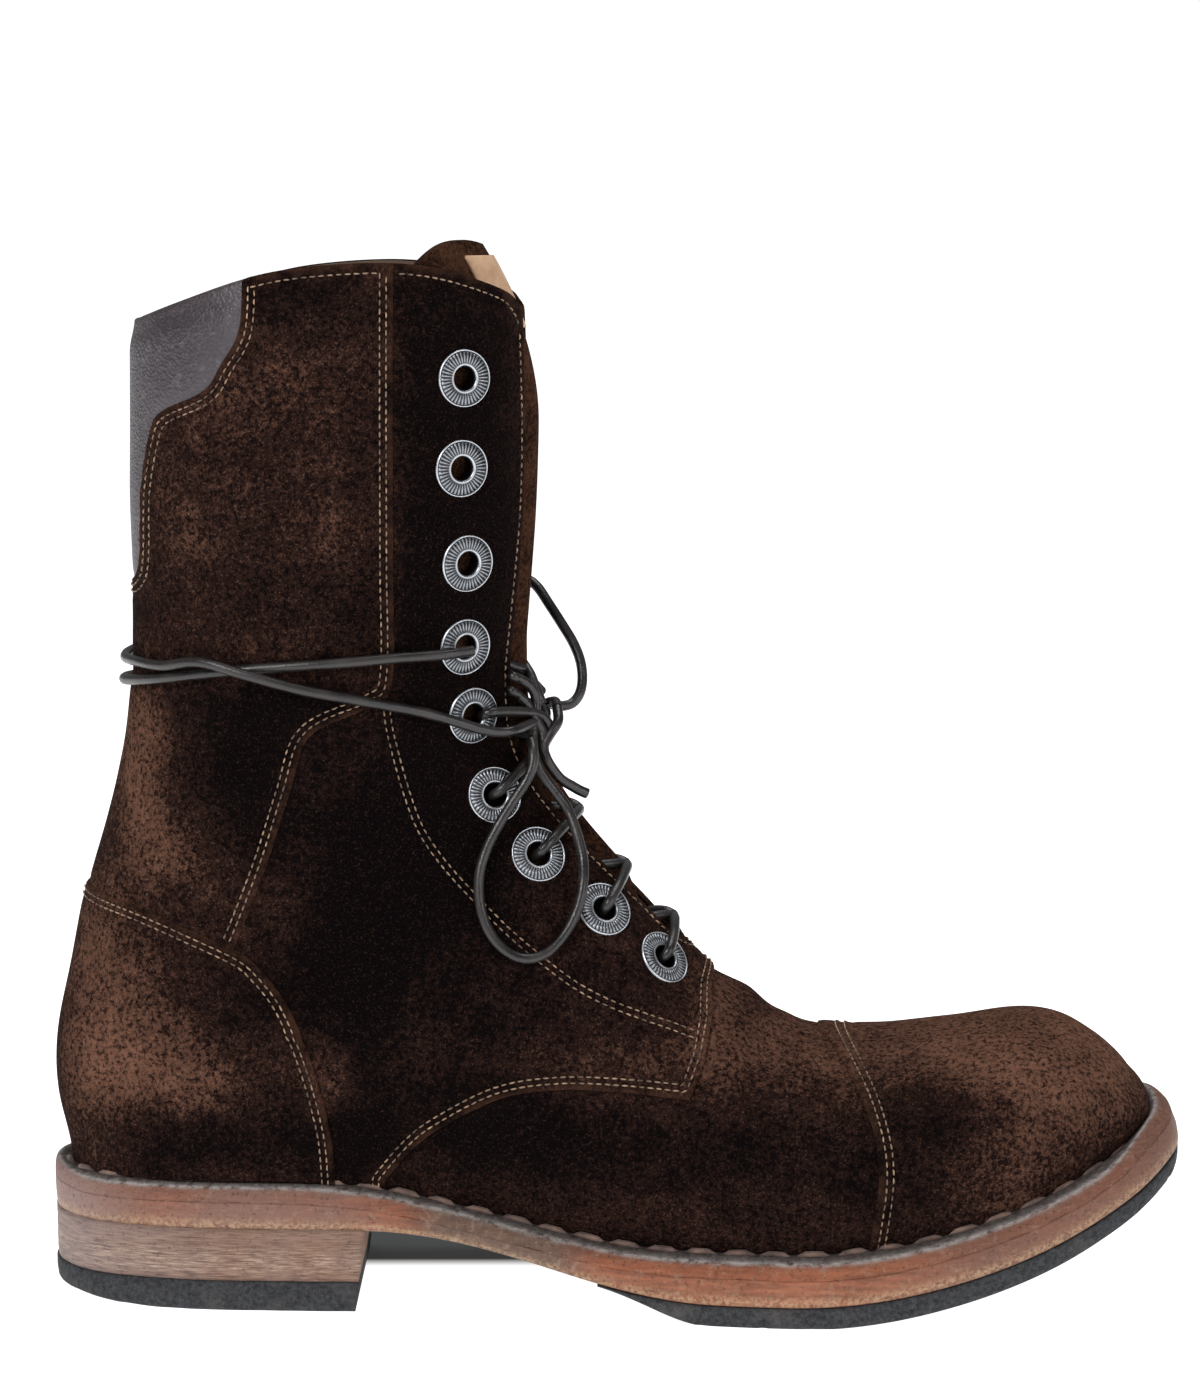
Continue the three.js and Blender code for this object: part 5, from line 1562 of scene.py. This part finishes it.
def heel_block(name, levels, material, slot, node, rough, bevel=0.0):
    """levels: trim of the edge and height, from the top down."""
    loops = []
    for trim, z in levels:
        outline = heel_outline(-trim, z if np.isscalar(z) else HEEL_HEIGHT / 2)
        x = outline[:, 0]
        height = z(x) if callable(z) else np.full(len(x), float(z))
        height = np.maximum(height, bevel * np.maximum(0, 1 - x / HEEL_BEVEL_LENGTH) ** 1.3)
        loops.append(np.column_stack([outline, height]))
    count = len(loops[0])
    points = np.concatenate(loops)
    out = unit(np.column_stack([points[:, 0] * 0, points[:, 1]]))
    points[:, :2] += out * wander(points, rough, 3, 4.0)[:, None]
    quads = loops_to_faces(len(levels), count, True)[:-count]
    half = count // 2
    caps = []
    for base, flip in ((0, 1), ((len(levels) - 1) * count, -1)):
        k = np.arange(half)
        mirror = count - 1 - k
        caps.append(np.stack([base + k, base + k + 1, base + mirror - 1, base + mirror], -1)[:, ::flip])
    faces = tidy_faces(np.concatenate([quads, *caps]))
    return dress(make_mesh(name, points, faces, material), slot, node)


def make_heel(stack_material, rubber_material):
    heights = np.linspace(HEEL_HEIGHT - LEATHER_THICKNESS + 0.3, HEEL_LIFT + 0.15, 9)
    trims = [0.3, 0.25, 0.35, 0.3, 0.4, 0.35, 0.4, 0.4, 0.6]
    heel_block("heel_stack", list(zip(trims, heights)), stack_material, "sole_leather", "heel_stack", 0.15)
    lift = [(0.5, HEEL_LIFT), (0.1, HEEL_LIFT - 0.6), (0.1, 5.0), (0.4, 2.2), (0.9, 0.7), (1.7, 0)]
    heel_block("heel_lift", lift, rubber_material, "rubber", "heel_lift", 0.1, HEEL_BEVEL_RISE)


def make_tread(material):
    """The half sole: its edge follows the solid's, with notches between the lugs."""
    t = SOLE_T[SOLE_T < 12.6]
    marks = {side: lug_marks(side) for side in (-1, 1)}
    dense = np.interp(np.linspace(0, 1, 620), np.linspace(0, 1, len(t)), t)
    levels = [(0.4, 0.0), (0, 0.12), (0, 0.45), (0.2, 0.7), (0.6, 0.9), (1.6, 1.0), (7.0, 1.0), (12.5, 1.0)]
    loops = []
    for trim, at in levels:
        parts = []
        for side in (-1, 1):
            _, p = edge_line(dense, side, 1, -0.6 - trim)
            p = p[p[:, 0] >= TREAD_START]
            travelled = np.concatenate([[0], np.cumsum(np.linalg.norm(np.diff(p, axis=0), axis=1))])
            even = np.linspace(0, 1, 420) * travelled[-1]
            p = np.column_stack([np.interp(even, travelled, p[:, k]) for k in (0, 1)])
            x = p[:, 0]
            z = mix(leather_line(x) - CLEARANCE, tread_line(x), at)
            deep = LUG_NOTCH_DEPTH * notch_share(p, marks[side]) * (trim < 12) * (at > 0.4)
            z = np.maximum(np.maximum(z, 0), np.minimum(tread_line(x) + deep, leather_line(x) - 1))
            parts.append(np.column_stack([p, z]))
        outer, inner = parts
        loops.append(np.concatenate([outer[::-1], inner[1:]]))
    count = len(loops[0])
    points = np.concatenate(loops)
    quads = loops_to_faces(len(levels), count, True)[:-count]
    half = count // 2
    caps = []
    for base, flip in ((0, 1), ((len(levels) - 1) * count, -1)):
        k = np.arange(half)
        mirror = count - 1 - k
        caps.append(np.stack([base + k, base + k + 1, base + mirror - 1, base + mirror], -1)[:, ::flip])
    faces = tidy_faces(np.concatenate([quads, *caps]))
    dress(make_mesh("forefoot_tread", points, faces, material), "rubber", "forefoot_tread")


def lug_marks(side):
    """Where the notches are: points of the outline."""
    marks, since, before = [], LUG_PITCH / 2, None
    for t in np.arange(LUG_FIRST, 0.2, -0.02):
        p = edge_line(np.array([t]), side, 1, 0)[1][0]
        if before is not None:
            since += math.dist(p, before)
        before = p
        if since >= LUG_PITCH:
            since -= LUG_PITCH
            marks.append(p)
    return np.array(marks)


def notch_share(p, marks):
    gap = np.min(np.linalg.norm(p[:, None] - marks[None], axis=2), axis=1)
    return rise(-gap, -LUG_NOTCH_WIDTH / 2 - 0.35, -LUG_NOTCH_WIDTH / 2 + 0.35)


def make_welt_stitches(material):
    heavy = Stitches(8.8, 1.7, 10.0, 11)
    for side in (-1, 1):
        feather, p = edge_line(SOLE_T, side, 0.16, 0)
        z = top_line(mix(feather[:, 0], p[:, 0], 0.25)) + 0.1
        places = np.column_stack([p, z])
        out = unit(np.column_stack([p - feather, np.zeros(len(p))]))
        heavy.along(places, unit(out * 0.55 + np.array([0, 0, 1.0])))
    heavy.make("welt_stitches", material, "waxed_lace")


# Laces. The free stretches run through the same points as their solids.
LACE_ROUTES = {
    "lace_wrap_outer": [
        (115.5, -27.6, 175.1), (108.2, -32.1, 174.6), (97.4, -34.8, 174.1), (85.4, -37.4, 173.3),
        (70.9, -38.1, 172.3), (56.9, -36.4, 171.1), (43.3, -31.7, 169.3), (31.9, -23.8, 167.3),
        (22.9, -9.6, 165.4), (21.8, 4.6, 164.7), (26.9, 18, 164.1), (36.4, 27.6, 163.9),
        (49.4, 34.2, 163.6), (64.8, 37.3, 163.3), (79.2, 37.2, 162.7), (90.7, 35.4, 161.6),
        (101.4, 32.9, 159.8), (111.5, 30.9, 157.6), (119.8, 25.9, 156.3), (127.2, 17.8, 156.2),
        (131.4, 11, 155.9), (131.9, 5.9, 155.6),
    ],
    "lace_wrap_inner": [
        (115.5, 27.6, 175.1), (108.2, 32.1, 175), (97.5, 34.9, 174.9), (85.6, 37.4, 174.5),
        (71.1, 38.2, 174), (57.1, 36.6, 173.6), (43.6, 31.9, 173.1), (32.3, 24, 172.5),
        (23.3, 9.7, 171.6), (22.1, -4.6, 171), (27.3, -18.3, 171.2), (34.8, -28.2, 171.3),
        (45.2, -36.3, 173.1), (57.1, -40, 170.2), (71.3, -39.7, 166.3), (84, -37.1, 163.6),
        (96.7, -33.4, 160.8), (104.4, -30.6, 158.8), (112.1, -27.7, 156.1), (117.8, -25.7, 154.1),
        (122.5, -23.4, 153.1), (126.6, -20.6, 153.3), (131.2, -11.2, 154.2),
    ],
    "lace_loop_outer": [
        (130.9, -11.8, 150.3), (131, -14.4, 147.9), (131.6, -16.2, 145), (133.6, -16.5, 140.7),
        (137.1, -16.5, 135.9), (140.2, -16.8, 131.4), (142.6, -19.6, 125.4), (144.2, -22.2, 118.9),
        (144.2, -25.7, 112.8), (142.7, -27.7, 106.5), (139.5, -30, 100.5), (134.8, -32.2, 95.9),
        (129.1, -33.2, 94.5), (123.8, -33.2, 96.8), (119.6, -32.3, 101.7), (117.3, -30.7, 108.4),
        (117, -28.9, 115.8), (118.8, -27.1, 122.4), (121.9, -25.8, 128.5), (125.6, -23.9, 134.4),
        (129, -22.4, 139.5), (130.8, -21.6, 143.6), (131.1, -20, 147.4), (130.5, -16.8, 149.9),
    ],
    "lace_loop_inner": [
        (134.9, 3.6, 157.6), (135.5, 8.4, 156.6), (138.2, 10, 155.8), (141.1, 12, 156.3),
        (143.1, 13.5, 158.6), (143.9, 15.5, 162.2), (143.4, 17.5, 167), (141.5, 19.5, 171.8),
        (138.5, 21, 176.7), (134.7, 23, 182.4), (131.6, 25.5, 186.7), (128.7, 28, 188.4),
        (125.9, 30, 186), (124.2, 30, 181), (123.7, 27, 174.7), (124.6, 23.5, 169.6),
        (126.3, 19.8, 166.1), (128.3, 17, 163.6), (131, 13.4, 161.4), (132.8, 8, 160.2),
    ],
    "lace_end_outer": [
        (137.3, -3.2, 157), (137.5, -6.8, 153.8), (135.4, -9.3, 150.6), (133.8, -12.4, 147.9),
        (134.4, -14.2, 145.2), (136, -14.2, 142.3), (138.4, -13.6, 139.2), (141.3, -12.4, 137.2),
        (143.4, -11.8, 135.9), (145.3, -11.2, 135),
    ],
    "lace_end_inner": [
        (132.3, 10.4, 153.1), (131.6, 14.6, 149.4), (130.4, 18.4, 145.2), (129.6, 22.4, 140),
        (129.6, 26, 133.5), (130, 28.8, 126), (131, 30.4, 119), (132.4, 31.2, 112),
    ],
}
KNOT_CENTRE = np.array([132.3, -2, 155])
KNOT_STRANDS = {
    "first": [
        (123.3, -3.3, 166.7), (125.4, -12, 166.6), (127.7, -10.5, 165.4), (129.8, -9.5, 163.9),
        (131.2, -8.8, 161.9), (131.7, -8.6, 159.8), (131.7, -9, 157.7), (131.2, -9.8, 155.6),
        (130.9, -10.8, 153.1), (130.9, -11.8, 150.3),
    ],
    "second": [
        (123.1, -4.7, 162.5), (125.1, -13, 162.9), (127.2, -11.8, 161.2), (129.1, -11.2, 159.3),
        (130.4, -11, 156.9), (132, -10.6, 154.1), (133.3, -10.2, 151.4), (133.8, -11.6, 148.4),
    ],
    "bight": [
        (116.7, -14.4, 156.2), (118.2, -19.6, 157.3), (120.3, -20.2, 157.9), (123.1, -18.1, 157.9),
        (126, -15.9, 157.6), (128.8, -13.4, 157.2), (131.4, -10.4, 156.4), (133.5, -8.4, 155.2),
        (134.9, -7.4, 153.2), (134.7, -7.4, 151), (133, -8, 149.5), (130.6, -9, 149.1),
    ],
    "third": [
        (126.7, 4, 169.9), (128.3, 1, 168.3), (130, -2, 166), (131.1, -4, 163.5), (132.2, -5.5, 161),
        (133.2, -6, 158.4),
    ],
    "far_turn": [
        (134.9, 3.6, 157.6), (136.7, 0.3, 158.2), (137.3, -3.2, 157),
    ],
}


def smooth_route(points, steps=8):
    p = np.array(points, float)
    p = np.concatenate([[2 * p[0] - p[1]], p, [2 * p[-1] - p[-2]]])
    line = []
    for i in range(1, len(p) - 2):
        a, b, c, d = p[i - 1:i + 3]
        for f in np.arange(steps) / steps:
            line.append(0.5 * (2 * b + (c - a) * f + (2 * a - 5 * b + 4 * c - d) * f ** 2
                               + (3 * b - a - 3 * c + d) * f ** 3))
    return np.array([*line, p[-2]])


def lace_curve(name, route, material):
    data = bpy.data.curves.new(name, "CURVE")
    data.dimensions = "3D"
    data.bevel_depth = LACE_DIAMETER / 2 * MM
    data.bevel_resolution = 5
    data.use_fill_caps = True
    line = data.splines.new("POLY")
    points = metres(route)
    line.points.add(len(points) - 1)
    line.points.foreach_set("co", np.column_stack([points, np.ones(len(points))]).ravel())
    line.use_smooth = True
    data.materials.append(material)
    piece = bpy.data.objects.new(name, data)
    bpy.context.collection.objects.link(piece)
    return piece


def make_cords(material):
    for name, points in LACE_ROUTES.items():
        route = smooth_route(points)
        piece = lace_curve(name + "_cord", route, material)
        dress(piece, "waxed_lace", name)


CROSSING_RIDGES = (2.9, 2.4)
BIGHT_EYELET = (3, "outer")


def ridge_section(z):
    low, high = 8.0, float(LAST_SECTION)
    while high - low > 1e-6:
        middle = (low + high) / 2
        if surface(middle, 0.0)[2] < z:
            low = middle
        else:
            high = middle
    return low


def make_crossings(material):
    """Each strand comes up out of an eyelet, crosses the tongue and dives under the other facing."""
    over = EYELET_SEAT + 1 + LACE_DIAMETER / 2
    for k in range(3, len(EYELET_ROWS) - 1):
        t0, a0 = EYELET_ROWS[k + 1]
        t1, a1 = EYELET_ROWS[k]
        middle = ridge_section((surface(t0, a0)[2] + surface(t1, a1)[2]) / 2)
        for (name, side), ridge in zip(SIDES.items(), CROSSING_RIDGES):
            if (k, name) == BIGHT_EYELET:
                continue
            stops = [  # share of the way from the lower eyelet to the ridge, height
                (0.0, -3.4), (0.0, -0.6), (0.06, over - 0.9), (0.3, over - 0.2), (0.7, mix(over, ridge, 0.6)),
                (1.0, ridge),
            ]
            points = [skin(np.array([mix(t0, middle, s)]), np.array([side * a0 * (1 - s)]), np.array([h]))[0]
                      for s, h in stops]
            for s, h in ((0.08, ridge - 0.8), (0.16, ridge - 2.6), (0.25, -2.4), (0.4, -4.6)):
                t, a = mix(middle, t1, s), -side * a1 * s
                points.append(skin(np.array([t]), np.array([a]), np.array([h]))[0])
            piece = lace_curve(f"lace_cross_{k - 2}_{name}", smooth_route(points), material)
            dress(piece, "waxed_lace", f"lace_cross_{k - 2}")


def make_knot(material):
    """The bow's knot: turns of the lace round each other, and the strands that lead into it."""
    turns = np.linspace(0, 2.1 * 2 * np.pi, 60)
    core = KNOT_CENTRE + np.column_stack([
        1.9 * np.cos(turns), 2.4 * np.linspace(-1, 1, len(turns)), 2.0 * np.sin(turns),
    ])
    dress(lace_curve("lace_knot_core", core, material), "waxed_lace", "lace_knot")
    for name, points in KNOT_STRANDS.items():
        dress(lace_curve("lace_knot_" + name, smooth_route(points), material), "waxed_lace", "lace_knot")


def main():
    make_camera()
    lace = waxed_lace()
    make_cords(lace)
    make_lights()
    make_floor()
    bpy.context.scene.view_settings.view_transform = "Standard"

    grid = Grid(GRID_ROWS, GRID_COLUMNS)
    f = fields_on(grid.p)
    suede_material = suede()
    make_upper(grid, f, suede_material)
    make_collar(grid, f, collar_leather())
    lining = lining_leather()
    coarse = Grid(GRID_ROWS // 2, GRID_COLUMNS // 2)
    make_lining(coarse, fields_on(coarse.p), lining)
    make_tongue(tongue_suede(), label_leather())
    make_stitches(grid, f, thread("tan_thread", (0.06, 0.034, 0.02), (0.42, 0.27, 0.16)))
    make_eyelets(gunmetal())
    make_welt(welt_leather())
    edge = edge_leather()
    make_midsole(edge)
    make_insole(lining)
    rubber = tread_rubber()
    make_heel(stack_leather(), rubber)
    make_tread(rubber)
    make_welt_stitches(thread("welt_thread", (0.05, 0.028, 0.023), (0.20, 0.12, 0.09)))
    make_crossings(lace)
    make_knot(lace)


main()
